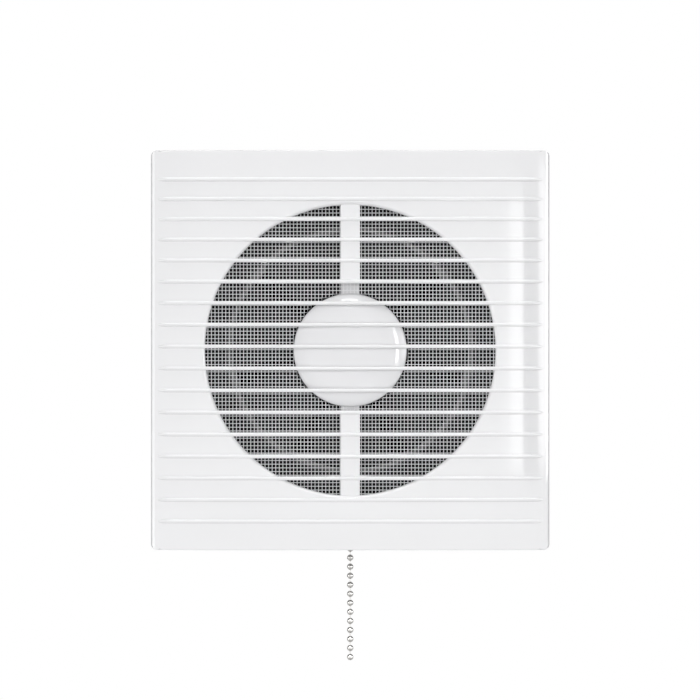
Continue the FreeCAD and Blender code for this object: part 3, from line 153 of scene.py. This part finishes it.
def dress(finish, *nodes):
    """Give a finish to pieces that keep the shape of their solids."""
    for node in nodes:
        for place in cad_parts[node].material_slots:
            place.material = finish.material


graphite = Finish("graphite_plastic_and_painted_shade", Specular_IOR_Level=0.18)
mottle = graphite.grain(120.0)
# The near-black base colour is partly the plastic's own and partly painted shade for the fan's inside.
graphite.colour(mottle, (0.3, (0.009, 0.009, 0.01)), (0.7, (0.014, 0.014, 0.015)))
graphite.rough(mottle, 0.5, 0.64)
graphite.relief(graphite.grain(2600.0, 3.0), 0.00003)
dress(graphite, "casing", "spigot_sleeve")

# Bearing brackets and bearings. Two pressed steel discs, zinc-plated, with a boss that holds a sintered
# bronze sleeve; the front one lies on the bowl's rim and the rear one on its floor.
zinc = Finish("zinc_plate", Metallic=1.0)
spangle = zinc.grain(700.0, 3.0)
zinc.colour(spangle, (0.3, (0.5, 0.51, 0.53)), (0.7, (0.63, 0.63, 0.64)))
zinc.rough(spangle, 0.26, 0.42)
dress(zinc, "front_bearing_bracket", "rear_bearing_bracket", "cap_screws", "motor_bolts", "switch_screws",
      "clamp_screws", "impeller_nut")

bronze = Finish("sintered_bronze", Metallic=1.0)
pores = bronze.grain(5200.0, 2.0)
bronze.colour(pores, (0.35, (0.3, 0.19, 0.09)), (0.6, (0.6, 0.42, 0.23)))
bronze.rough(pores, 0.35, 0.6)
bronze.relief(pores, 0.00003)
dress(bronze, "front_bearing", "rear_bearing")

# Stator. A stack of thin varnished steel sheets with four poles, a moulded bobbin on each and the enamelled
# copper wire wound on it; two long bolts clamp the stack between the brackets.
sheet_pitch = 0.0005
sheets = Finish("varnished_sheets", Metallic=1.0)
edges = (sheets.axis("Y") * (2 * math.pi / sheet_pitch)).sine() * 0.5 + 0.5
sheets.colour(edges, (0.1, (0.09, 0.09, 0.1)), (0.5, (0.27, 0.28, 0.3)))
sheets.rough(sheets.grain(300.0), 0.35, 0.5)
sheets.relief(edges, 0.00003)
dress(sheets, "stator_core", "rotor")

polyamide = Finish("natural_polyamide", Subsurface_Weight=0.08, Subsurface_Scale=0.002)
cloud = polyamide.grain(160.0)
polyamide.colour(cloud, (0.3, (0.74, 0.73, 0.67)), (0.7, (0.8, 0.79, 0.74)))
polyamide.rough(cloud, 0.34, 0.46)
polyamide.relief(polyamide.grain(2400.0), 0.00001)
dress(polyamide, "coil_bobbins", "thrust_washers", "switch_slider", "terminal_block")

wire_pitch = 0.0003
copper = Finish("enamelled_wire", Metallic=1.0, Coat_Weight=0.4, Coat_Roughness=0.15)
reach = copper.node("ShaderNodeVectorMath", {"operation": "LENGTH"}, {0: copper.node(
    "ShaderNodeVectorMath", {"operation": "MULTIPLY"}, {0: copper.place, 1: (1.0, 0.0, 1.0)})}, out="Value")
# The colour darkens to near black between the turns: painted shade in the grooves of the winding; the bump is
# the turns' real relief.
turns_and_groove_shade = (reach * (2 * math.pi / wire_pitch)).sine() * 0.5 + 0.5
copper.colour(turns_and_groove_shade, (0.05, (0.1, 0.03, 0.012)), (0.6, (0.56, 0.22, 0.09)))
copper.rough(copper.grain(600.0), 0.24, 0.36)
copper.relief(turns_and_groove_shade, 0.0001)
dress(copper, "coil_windings")

# Rotor and shaft. The shaft is ground steel; it carries the rotor's sheets between two cast aluminium rings
# and runs in the bearings against nylon washers.
ground = Finish("ground_steel", Metallic=1.0)
lines = ground.grain(2500.0, 2.0, (1.0, 14.0, 1.0))
ground.colour(lines, (0.3, (0.56, 0.56, 0.57)), (0.7, (0.68, 0.68, 0.69)))
ground.rough(lines, 0.16, 0.28)
dress(ground, "shaft")

cast = Finish("cast_aluminium", Metallic=1.0)
skin = cast.grain(900.0, 4.0)
cast.colour(skin, (0.3, (0.62, 0.63, 0.64)), (0.7, (0.74, 0.75, 0.76)))
cast.rough(skin, 0.38, 0.55)
cast.relief(skin, 0.00004)
dress(cast, "rotor_end_rings")

# Impeller. Seven twisted blades on a cup that closes round the motor bowl, moulded in the same dark plastic
# as the casing and held on the shaft by a plain nut. Its colour too is darker than the plastic's own: painted
# shade for the dark inside of the fan.
satin_graphite_and_shade = Finish("satin_graphite_and_shade", Specular_IOR_Level=0.2)
flow = satin_graphite_and_shade.grain(90.0)
# The near-black base colour is partly the plastic's own and partly painted shade for the fan's inside.
satin_graphite_and_shade.colour(flow, (0.3, (0.011, 0.011, 0.012)), (0.7, (0.016, 0.016, 0.017)))
satin_graphite_and_shade.rough(flow, 0.34, 0.46)
satin_graphite_and_shade.relief(satin_graphite_and_shade.grain(2200.0), 0.00001)
dress(satin_graphite_and_shade, "impeller")

# Motor cap. A round white cap over the front bracket, with a strip up and down that hides the casing's arms;
# gloss plastic from a polished mould, two screws through the strips.


def outward(mesh):
    """Turn every shell of a mesh right side out."""
    bmesh.ops.recalc_face_normals(mesh, faces=mesh.faces[:])
    left = set(mesh.faces)
    while left:
        shell = {left.pop()}
        fresh = shell
        while fresh:
            fresh = {near for face in fresh for edge in face.edges for near in edge.link_faces} - shell
            shell |= fresh
        left -= shell
        if sum(face.calc_center_median().dot(face.normal) * face.calc_area() for face in shell) < 0:
            bmesh.ops.reverse_faces(mesh, faces=list(shell))


def piece(name, mesh, finish, body, nodes):
    """Turn a finished bmesh into a piece that rides on a body and stands for its solids."""
    outward(mesh)
    data = bpy.data.meshes.new(name)
    mesh.to_mesh(data)
    mesh.free()
    for face in data.polygons:
        face.use_smooth = True
    data.set_sharp_from_angle(angle=math.radians(32))
    data.materials.append(finish.material)
    made = bpy.data.objects.new(name, data)
    bpy.context.scene.collection.objects.link(made)
    made.modifiers.new("flat_faces_first", "WEIGHTED_NORMAL").keep_sharp = True
    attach(made, body)
    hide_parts(*nodes)
    return made


def spun(mesh, stops, steps):
    """A chain of (radius, Y) stops turned about the fan's axis, closed where it ends as it starts."""
    closed = stops[0] == stops[-1]
    chain = [mesh.verts.new((radius, along, 0.0)) for radius, along in (stops[:-1] if closed else stops)]
    edges = [mesh.edges.new(pair) for pair in zip(chain, chain[1:] + chain[:closed])]
    bmesh.ops.spin(mesh, geom=chain + edges, cent=(0, 0, 0), axis=(0, 1, 0), angle=2 * math.pi, steps=steps,
                   use_merge=True)


def block(mesh, low, high, rounding):
    """A bar between two corners with all its edges rounded."""
    low, high = Vector(low), Vector(high)
    made = bmesh.ops.create_cube(mesh, size=1.0)["verts"]
    bmesh.ops.scale(mesh, vec=high - low, verts=made)
    bmesh.ops.translate(mesh, vec=(low + high) / 2, verts=made)
    bmesh.ops.bevel(mesh, geom=list({edge for vert in made for edge in vert.link_edges}), offset=rounding,
                    segments=3, profile=0.5, affect="EDGES", material=-1)


cover_white = Finish("gloss_white", Specular_IOR_Level=1.0)
tone = cover_white.grain(30.0)
cover_white.colour(tone, (0.3, (0.812, 0.812, 0.824)), (0.7, (0.824, 0.824, 0.836)))
cover_white.rough(cover_white.grain(55.0), 0.04, 0.07)
cover_white.relief(cover_white.grain(300.0, 1.0), 0.000001)

cap_radius, cap_front, cap_rear, cap_wall = 0.02135, 0.0225, 0.0149, 0.0016
crown_start, crown_radius, crown_tilt, rim_radius = 0.0154, 0.02, math.radians(14.5), 0.0009
crown = [(crown_start + crown_radius * math.sin(tilt), crown_radius * (1 - math.cos(tilt)) - cap_front)
         for tilt in (crown_tilt * step / 12 for step in range(13))]
crown_edge, crown_depth = crown[-1]
rim_middle = cap_radius - rim_radius
rim_fall = (rim_radius + (rim_middle - crown_edge) * math.sin(crown_tilt)) / math.cos(crown_tilt)
rim_depth = crown_depth + rim_fall
rim = [(rim_middle + rim_radius * math.sin(tilt), rim_depth - rim_radius * math.cos(tilt))
       for tilt in (crown_tilt + (math.pi / 2 - crown_tilt) * step / 8 for step in range(9))]
cap_mesh = bmesh.new()
spun(cap_mesh, [(0.0, -cap_front), *crown, *rim, (cap_radius, -cap_rear), (cap_radius - cap_wall, -cap_rear),
                (cap_radius - cap_wall, cap_wall - cap_front), (0.0, cap_wall - cap_front)], 128)
bmesh.ops.remove_doubles(cap_mesh, verts=cap_mesh.verts[:], dist=1e-7)
strip_half, strip_front, strip_ends, strip_rounding = 0.0035, 0.0187, (0.0205, 0.05), 0.0003
for side in (-1, 1):
    low, high = sorted(side * end for end in strip_ends)
    block(cap_mesh, (-strip_half, -strip_front, low), (strip_half, -cap_rear, high), strip_rounding)
piece("cap_shell", cap_mesh, cover_white, "casing", ["motor_cap"])

# Pull switch. A black housing with its lid screwed to the casing's floor; the slider inside is held up by a
# drawn steel spring and works two brass terminals.
black_plastic = Finish("black_plastic", Specular_IOR_Level=0.4)
fleck = black_plastic.grain(400.0)
black_plastic.colour(fleck, (0.3, (0.018, 0.018, 0.018)), (0.7, (0.03, 0.03, 0.03)))
black_plastic.rough(fleck, 0.4, 0.55)
black_plastic.relief(black_plastic.grain(3000.0), 0.00002)
dress(black_plastic, "switch_housing", "switch_lid")
dress(cover_white, "chain_bush")

coil_wire, coil_turns, pull = 0.00025, 5, 0.0055
coil_steps = 24 * coil_turns
coil_low, coil_high = (Vector(corner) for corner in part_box("switch_spring"))
coil_length = coil_high.z - coil_low.z
coil_middle = (coil_low + coil_high) / 2
coil_start = Vector((coil_high.x - coil_wire, coil_middle.y, coil_low.z + coil_wire))
coil = bmesh.new()
bmesh.ops.create_circle(coil, segments=10, radius=coil_wire,
                        matrix=Matrix.Translation(coil_start) @ Matrix.Rotation(math.pi / 2, 4, "X"))
bmesh.ops.spin(coil, geom=coil.verts[:] + coil.edges[:], cent=coil_middle, axis=(0, 0, 1),
               dvec=(0, 0, (coil_length - 2 * coil_wire) / coil_steps),
               angle=2 * math.pi * coil_turns, steps=coil_steps)
bmesh.ops.holes_fill(coil, edges=[edge for edge in coil.edges if edge.is_boundary])
spring = piece("return_spring", coil, ground, "casing", ["switch_spring"])
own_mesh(spring)

brass = Finish("bright_brass", Metallic=1.0)
tarnish = brass.grain(500.0, 3.0)
brass.colour(tarnish, (0.3, (0.58, 0.42, 0.17)), (0.7, (0.76, 0.59, 0.29)))
brass.rough(tarnish, 0.2, 0.36)
dress(brass, "switch_terminals", "terminal_screws")

# Bead chain. Hollow nickel-plated beads, pierced above and below, on short wires with a ball at each end. It
# hangs from the slider through a bush in the casing's bottom.
nickel = Finish("nickel_plate", Metallic=1.0)
wear = nickel.grain(1500.0, 3.0)
nickel.colour(wear, (0.3, (0.46, 0.455, 0.44)), (0.7, (0.56, 0.55, 0.535)))
nickel.rough(wear, 0.12, 0.22)

chain_depth, head_bead, bead_pitch, bead_count = -0.0085, -0.06885, 0.00345, 15
bead_radius, bead_hole, lip_share, lip_depth = 0.00122, 0.0004, 0.85, 0.0003


def bead(mesh, height):
    """One pierced bead whose holes turn in a little."""
    shell = bmesh.ops.create_uvsphere(mesh, u_segments=24, v_segments=16, radius=bead_radius)["verts"]
    cap_height = math.sqrt(bead_radius ** 2 - bead_hole ** 2)
    for side in (-1, 1):
        geom = [*shell, *{edge for vert in shell for edge in vert.link_edges},
                *{face for vert in shell for face in vert.link_faces}]
        bmesh.ops.bisect_plane(mesh, geom=geom, plane_co=(0, 0, side * cap_height), plane_no=(0, 0, side),
                               clear_outer=True)
        shell = [vert for vert in mesh.verts if vert.co.length < bead_radius * 1.1]
        lip = [edge for vert in shell for edge in vert.link_edges
               if edge.is_boundary and all(abs(end.co.z - side * cap_height) < 1e-7 for end in edge.verts)]
        inner = bmesh.ops.extrude_edge_only(mesh, edges=list(set(lip)))["geom"]
        rim_verts = [item for item in inner if isinstance(item, bmesh.types.BMVert)]
        bmesh.ops.scale(mesh, vec=(lip_share, lip_share, 1.0), verts=rim_verts)
        bmesh.ops.translate(mesh, vec=(0, 0, -side * lip_depth), verts=rim_verts)
        shell += rim_verts
    bmesh.ops.translate(mesh, vec=(0, chain_depth, height), verts=shell)


def link(mesh, height):
    """The wire between the bead at a height and the next one below, with its two balls."""
    seat, wire, ball = 0.00052, 0.00021, 0.00045
    low = height - bead_pitch + seat
    stem = bmesh.ops.create_cone(mesh, cap_ends=True, segments=12, radius1=wire, radius2=wire,
                                 depth=height - seat - low)["verts"]
    bmesh.ops.translate(mesh, vec=(0, chain_depth, (height - seat + low) / 2), verts=stem)
    for end in (height - seat, low):
        knob = bmesh.ops.create_icosphere(mesh, subdivisions=2, radius=ball)["verts"]
        bmesh.ops.translate(mesh, vec=(0, chain_depth, end), verts=knob)


stretches = [("chain_head", "switch_slider", range(2), "chain_head_beads", "chain_head_links"),
             *((f"chain_joint_{n - 1}", f"chain_{n - 1}", range(n, n + 1), f"chain_bead_{n - 1}",
                f"chain_link_{n - 1}") for n in (2, 3, 4)),
             ("chain_tail_end", "chain_tail", range(5, bead_count), "chain_tail_beads", "chain_tail_links")]
for name, body, numbers, beads, links in stretches:
    chain_mesh = bmesh.new()
    for number in numbers:
        bead(chain_mesh, head_bead - bead_pitch * number)
        if number < bead_count - 1:
            link(chain_mesh, head_bead - bead_pitch * number)
    piece(name, chain_mesh, nickel, body, [beads, links])

# Supply terminals. A natural plastic block with brass screws, a white bar that clamps the cable, and a black
# rubber grommet in the casing's floor where the cable comes out of the wall.
dress(cover_white, "cable_clamp")
rubber = Finish("grommet_rubber", Specular_IOR_Level=0.3)
dust = rubber.grain(700.0, 3.0)
rubber.colour(dust, (0.3, (0.018, 0.018, 0.018)), (0.7, (0.034, 0.034, 0.034)))
rubber.rough(dust, 0.6, 0.8)
rubber.relief(rubber.grain(2500.0), 0.00003)
dress(rubber, "cable_grommet")

# Cover. One gloss white moulding that pushes on by four pegs: a tray whose face falls away to the left and
# right, seventeen ribs that go on as slats across the opening, two struts and a collar for the net.
half, front, edge_front, skirt_rear = 0.075, 0.027, 0.025, 0.0015
wall, face_wall, corner_radius = 0.0018, 0.002, 0.0024
bend_start, bend_radius, slope = 0.05498, 0.1, math.radians(10.305)
edge_centre, edge_radius = (0.0725, 0.022913), 0.0025
opening, mouth_radius = 0.0545, 0.0013


def face_front(across):
    """Distance of the face in front of the wall, at a distance from the cover's middle."""
    across = abs(across)
    if across <= bend_start:
        return front
    if across <= bend_start + bend_radius * math.sin(slope):
        return front - bend_radius + math.sqrt(bend_radius ** 2 - (across - bend_start) ** 2)
    if across <= edge_centre[0] + edge_radius * math.sin(slope):
        return edge_front + (half - across) * math.tan(slope)
    return edge_centre[1] + math.sqrt(max(edge_radius ** 2 - (across - edge_centre[0]) ** 2, 0.0))


cover = bmesh.new()
bmesh.ops.create_grid(cover, x_segments=1, y_segments=1, size=half)
bmesh.ops.bevel(cover, geom=cover.verts[:], offset=corner_radius, segments=8, profile=0.5, affect="VERTICES",
                material=-1)
bmesh.ops.delete(cover, geom=cover.faces[:], context="FACES_ONLY")
bmesh.ops.create_circle(cover, cap_ends=False, segments=160, radius=opening)
bmesh.ops.triangle_fill(cover, use_beauty=True, use_dissolve=False, edges=cover.edges[:])
bmesh.ops.rotate(cover, verts=cover.verts[:], cent=(0, 0, 0), matrix=Matrix.Rotation(math.pi / 2, 3, "X"))
bend_step = 0.0012
bend_stops = [bend_start + bend_step * step for step in range(15)]
edge_tilts = [slope + (math.pi / 2 - slope) * step / 9 for step in range(9)]
edge_stops = [edge_centre[0] + edge_radius * math.sin(tilt) for tilt in edge_tilts]
for stop in bend_stops + edge_stops:
    for side in (-1, 1):
        bmesh.ops.bisect_plane(cover, geom=cover.verts[:] + cover.edges[:] + cover.faces[:], dist=1e-7,
                               plane_co=(side * stop, 0, 0), plane_no=(1, 0, 0))
for vert in cover.verts:
    vert.co.y = -face_front(vert.co.x)
outline = [edge for edge in cover.edges if edge.is_boundary and edge.verts[0].co.xz.length > opening + 0.002]
skirt = bmesh.ops.extrude_edge_only(cover, edges=outline)["geom"]
for item in skirt:
    if isinstance(item, bmesh.types.BMVert):
        item.co.y = -skirt_rear
notch_half, notch_front = 0.0048, 0.0133
notch_sides = (((notch_half, 0, 0), (1, 0, 0)), ((-notch_half, 0, 0), (1, 0, 0)),
               ((0, -notch_front, 0), (0, 1, 0)))
for place, normal in notch_sides:
    bottom = [face for face in cover.faces if face.calc_center_median().z < -half + 1e-5]
    geom = bottom + list({edge for face in bottom for edge in face.edges})
    geom += list({vert for face in bottom for vert in face.verts})
    bmesh.ops.bisect_plane(cover, geom=geom, dist=1e-7, plane_co=place, plane_no=normal)
notch = [face for face in cover.faces if face.calc_center_median().z < -half + 1e-5
         and abs(face.calc_center_median().x) < notch_half and face.calc_center_median().y > -notch_front]
bmesh.ops.delete(cover, geom=notch, context="FACES")
bmesh.ops.recalc_face_normals(cover, faces=cover.faces[:])
if next(face for face in cover.faces if face.calc_center_median().y < -front + 1e-6).normal.y > 0:
    bmesh.ops.reverse_faces(cover, faces=cover.faces[:])
ledge_zone, ledge_angle, ledge_rounding = 0.0023, 0.9, 0.0004
ledge = [edge for edge in cover.edges if len(edge.link_faces) == 2 and edge.calc_face_angle() > ledge_angle
         and all(abs(vert.co.z) > half - ledge_zone for vert in edge.verts)]
bmesh.ops.bevel(cover, geom=ledge, offset=ledge_rounding, segments=3, profile=0.5, affect="EDGES",
                material=-1)
inside = half - wall
grown = bmesh.ops.extrude_face_region(cover, geom=cover.faces[:])["geom"]
for vert in grown:
    if isinstance(vert, bmesh.types.BMVert):
        vert.co.x = min(max(vert.co.x, -inside), inside)
        vert.co.z = min(max(vert.co.z, -inside), inside)
        if vert.co.y < -edge_centre[1] - 1e-4:
            vert.co.y += face_wall
mouth = [edge for edge in cover.edges if all(
    abs(vert.co.xz.length - opening) < 1e-5 and vert.co.y < -front + 1e-5 for vert in edge.verts)]
bmesh.ops.bevel(cover, geom=mouth, offset=mouth_radius, segments=6, profile=0.5, affect="EDGES", material=-1)

rib_half, rib_front, rib_back, rib_reach, nose_radius = 0.00075, 0.0282, 0.026, 0.0733, 0.00065
nose_limit, root_depth, slat_back, slat_circle, slat_step = 0.0265, 0.0014, 0.0228, 0.0555, 0.00005
run_out, run_fall, end_thinning = 0.005, 0.0016, 0.6
rib_bends = [0.066, 0.0635, 0.061, 0.0585, 0.0562]


def rib(height):
    """A round-nosed rib that follows the face, runs out at both ends and deepens to a slat in the opening."""
    corners = [cover.verts.new((-rib_reach, along, height + up)) for along, up in (
        (-rib_back, -rib_half), (-rib_back, rib_half), (-rib_front, rib_half), (-rib_front, -rib_half))]
    root = corners[0]
    cover.faces.new(corners).normal_update()
    bmesh.ops.bevel(cover, geom=corners[2:], offset=nose_radius, segments=5, profile=0.5, affect="VERTICES",
                    material=-1)
    cap = root.link_faces[0]
    made = set(cap.verts)
    ends = [rib_reach - run_out * step / 8 for step in range(9)]
    chord = math.sqrt(max(slat_circle ** 2 - height ** 2, 0.0))
    steps = [chord + slat_step, chord - slat_step] if chord else []
    stops = [-stop for stop in ends[1:] + rib_bends + steps] + (ends + rib_bends + steps)[::-1]
    for number, stop in enumerate(stops):
        grown = bmesh.ops.extrude_face_region(cover, geom=[cap])["geom"]
        if number:
            bmesh.ops.delete(cover, geom=[cap], context="FACES_ONLY")
        cap = next(item for item in grown if isinstance(item, bmesh.types.BMFace))
        for vert in cap.verts:
            vert.co.x = stop
        made.update(cap.verts)
    for vert in made:
        across = abs(vert.co.x)
        past = max(across - (rib_reach - run_out), 0.0) / run_out
        vert.co.z = height + (vert.co.z - height) * (1 - end_thinning * past ** 2)
        if vert.co.y < -nose_limit:
            vert.co.y += front - face_front(across) + run_fall * past ** 1.5
        elif across < chord:
            vert.co.y = -slat_back
        else:
            vert.co.y = -(face_front(across) - root_depth)


# The ribs lie a little closer together towards the top.
rib_heights = [(1.41 - 8.203 * step - 0.0226 * step ** 2 + 0.003 * step ** 3) / 1000 for step in range(-8, 9)]
for height in rib_heights:
    rib(height)
strut_half, strut_front, strut_back, strut_rounding = 0.0037, 0.0263, 0.0244, 0.0005
for low, high in ((rib_heights[5], slat_circle), (-slat_circle, rib_heights[11])):
    block(cover, (-strut_half, -strut_front, low), (strut_half, -strut_back, high), strut_rounding)
collar_inner, collar_outer, collar_front, collar_back = 0.0552, 0.0574, 0.026, 0.0196
spun(cover, [(collar_inner, -collar_front), (collar_outer, -collar_front), (collar_outer, -collar_back),
             (collar_inner, -collar_back), (collar_inner, -collar_front)], 128)
peg_across, peg_up, peg_radius, peg_length, peg_middle = 0.064, 0.046, 0.0024, 0.0205, 0.01525
for across in (-peg_across, peg_across):
    for up in (-peg_up, peg_up):
        peg = bmesh.ops.create_cone(cover, cap_ends=True, segments=32, radius1=peg_radius, radius2=peg_radius,
                                    depth=peg_length)["verts"]
        bmesh.ops.rotate(cover, verts=peg, cent=(0, 0, 0), matrix=Matrix.Rotation(math.pi / 2, 3, "X"))
        bmesh.ops.translate(cover, verts=peg, vec=(across, -peg_middle, up))
piece("cover_shell", cover, cover_white, "front_panel", ["front_panel"])

# Insect net. A thin white net with square gaps welded to the collar by a flat ring; the motor cap stands
# through its middle.
net_white = Finish("net_white", Specular_IOR_Level=0.1)
net_tone = net_white.grain(200.0)
net_white.colour(net_tone, (0.3, (0.87, 0.87, 0.88)), (0.7, (0.89, 0.89, 0.9)))
net_white.rough(net_tone, 0.5, 0.62)
net_front, net_back, net_inner, net_outer = 0.0196, 0.019, 0.02147, 0.0568
net_pitch, net_wire, net_shift, cells = (0.001349, 0.001395), 0.00025, 0.0002, 86
net = bmesh.new()
bmesh.ops.create_grid(net, x_segments=cells, y_segments=cells, size=0.5)
bmesh.ops.rotate(net, verts=net.verts[:], cent=(0, 0, 0), matrix=Matrix.Rotation(math.pi / 2, 3, "X"))
bmesh.ops.scale(net, verts=net.verts[:], vec=(net_pitch[0] * cells, 1.0, net_pitch[1] * cells))
bmesh.ops.translate(net, verts=net.verts[:], vec=(net_shift, -net_front, net_shift))
outside = [face for face in net.faces if not net_inner < face.calc_center_median().xz.length < net_outer]
bmesh.ops.delete(net, geom=outside, context="FACES")
bmesh.ops.inset_individual(net, faces=net.faces[:], thickness=net_wire / 2, use_even_offset=True)
holes = [face for face in net.faces if all(len(edge.link_faces) == 2 for edge in face.edges)
         and face.calc_area() > (net_pitch[0] - net_wire) * (net_pitch[1] - net_wire) * 0.98]
bmesh.ops.delete(net, geom=holes, context="FACES")
for vert in net.verts:
    reach = vert.co.xz.length
    kept = min(max(reach, net_inner), net_outer)
    if kept != reach:
        vert.co.x *= kept / reach
        vert.co.z *= kept / reach
bmesh.ops.recalc_face_normals(net, faces=net.faces[:])
grown = bmesh.ops.extrude_face_region(net, geom=net.faces[:])["geom"]
bmesh.ops.translate(net, verts=[item for item in grown if isinstance(item, bmesh.types.BMVert)],
                    vec=(0, net_front - net_back, 0))
spun(net, [(collar_inner, -net_front), (collar_outer, -net_front), (collar_outer, -net_back),
           (collar_inner, -net_back), (collar_inner, -net_front)], 128)
piece("net_mesh", net, net_white, "front_panel", ["insect_net"])
dress(net_white, "net_frame")

# Studio. A pale floor well below the fan, a white backdrop with a dark patch painted behind the spigot as
# the shade inside the duct, a soft light over the camera, and panels in front, above and at the sides that
# show in the cover's gloss.
floor_radius, floor_height = 0.6, -0.3
floor_mesh = bmesh.new()
bmesh.ops.create_circle(floor_mesh, cap_ends=True, segments=64, radius=floor_radius)
bmesh.ops.translate(floor_mesh, verts=floor_mesh.verts[:], vec=(0, 0, floor_height))
floor_data = bpy.data.meshes.new("floor")
floor_mesh.to_mesh(floor_data)
floor_mesh.free()
floor = bpy.data.objects.new("floor", floor_data)
bpy.context.scene.collection.objects.link(floor)
pale = Finish("pale_floor")
pale.colour(pale.grain(3.0), (0.3, (0.86, 0.86, 0.86)), (0.7, (0.88, 0.88, 0.88)))
pale.rough(pale.grain(8.0), 0.7, 0.8)
floor_data.materials.append(pale.material)


def between(value, low, high):
    """1 where a value lies between two limits, 0 elsewhere."""
    return (value > low) * (high - value > 0.0)


world = bpy.data.worlds.new("studio")
bpy.context.scene.world = world
world.use_nodes = True
air = Nodes(world.node_tree)
way = air.node("ShaderNodeTexCoord", out="Generated")
across, ahead, up = (air.node("ShaderNodeSeparateXYZ", {}, {"Vector": way}, out=name) for name in "XYZ")
# A dark cone of the backdrop straight behind the spigot: painted shade standing for the inside of the duct.
duct_shade_angle = math.radians(2.52)
duct_shade = ahead > math.cos(duct_shade_angle)
camera_ray, gloss_ray, glass_ray = (air.node("ShaderNodeLightPath", out=f"Is {kind} Ray") for kind in (
    "Camera", "Glossy", "Transmission"))
# The gloss shows a dark gap between the panels on the right, and a dark room beyond the sides.
dark_gap = between(across, 0.265, 0.378) * between(up, -0.048, 0.058) * (-0.5 - ahead > 0.0)
dark_room = between(ahead, 0.2, 0.75)
shown = (camera_ray + glass_ray + gloss_ray * (1.0 - dark_gap) * (1.0 - dark_room)) * (1.0 - duct_shade)
sky_slope, sky_level = 0.2, 0.26
light = shown + (up * sky_slope + sky_level) * (1.0 - (camera_ray + glass_ray + gloss_ray))
background = world.node_tree.nodes["Background"]
air.feed(background.inputs["Color"], light)
background.inputs["Strength"].default_value = 1.0


def lamp(name, place, target, size, radiance, lights=True, mirrored=True):
    """A rectangular soft box that faces a point and lights it, shows in its gloss, or both."""
    data = bpy.data.lights.new(name, "AREA")
    data.shape = "RECTANGLE"
    data.size, data.size_y = size
    data.energy = radiance * math.pi * size[0] * size[1]
    made = bpy.data.objects.new(name, data)
    made.location = place
    made.rotation_euler = (Vector(target) - Vector(place)).to_track_quat("-Z", "Y").to_euler()
    made.visible_camera = False
    made.visible_diffuse = lights
    made.visible_glossy = mirrored
    bpy.context.scene.collection.objects.link(made)


lamp("front_light", (0.0, -1.5, 0.09), (0, 0, 0), (0.36, 0.36), 20.3, mirrored=False)
lamp("top_strip", (0.0, -0.75, 0.95), (0, 0, 0), (1.0, 0.08), 7.0)
lamp("right_side", (1.15, -0.45, 0.0), (0, 0, 0), (0.9, 0.7), 1.0)
lamp("left_side", (-1.15, -0.45, 0.0), (0, 0, 0), (0.9, 0.7), 1.0)
lamp("back_light", (-0.6, 1.1, 0.9), (0, 0, 0), (1.0, 1.0), 5.0, mirrored=False)
lamp("front_panel", (0.0, -1.05, 0.0), (0, 0, 0), (2.6, 1.6), 0.7, lights=False)
lamp("ceiling_panel", (0.0, -0.6, 1.0), (0, -0.6, 0), (1.6, 1.4), 3.6, lights=False)
lamp("right_box", (0.17, -0.53, 0.0083), (0.17, 0, 0.0083), (0.06, 0.152), 1.7, lights=False)
lamp("right_haze", (0.1225, -0.53, 0.0083), (0.1225, 0, 0.0083), (0.035, 0.152), 0.5, lights=False)
lamp("right_wall", (0.89, -1.04, 0.03), (0.89, 0, 0.03), (0.81, 0.24), 1.7, lights=False)
lamp("right_flank", (1.35, -0.3, 0.04), (0, -0.02, 0.04), (1.3, 0.3), 4.0, lights=False)
lamp("left_flank", (-1.35, -0.3, 0.0), (0, -0.02, 0), (1.3, 0.5), 1.6, lights=False)
lamp("hub_light", (0.0, -0.95, 0.4), (0, 0, 0), (0.13, 0.07), 6.0, lights=False)
lamp("hub_glint", (0.0447, -0.1224, 0.0035), (0.0447, 0, 0.0035), (0.0127, 0.028), 5.0, lights=False)

camera_data = bpy.data.cameras.new("camera")
camera_data.sensor_width = 36.0
camera_data.lens = 137.2
camera = bpy.data.objects.new("camera", camera_data)
camera.location = (-0.000075, -1.027, 0.000075)
camera.rotation_euler = (math.pi / 2, 0, 0)
bpy.context.scene.collection.objects.link(camera)
bpy.context.scene.camera = camera
bpy.context.scene.view_settings.view_transform = "Standard"
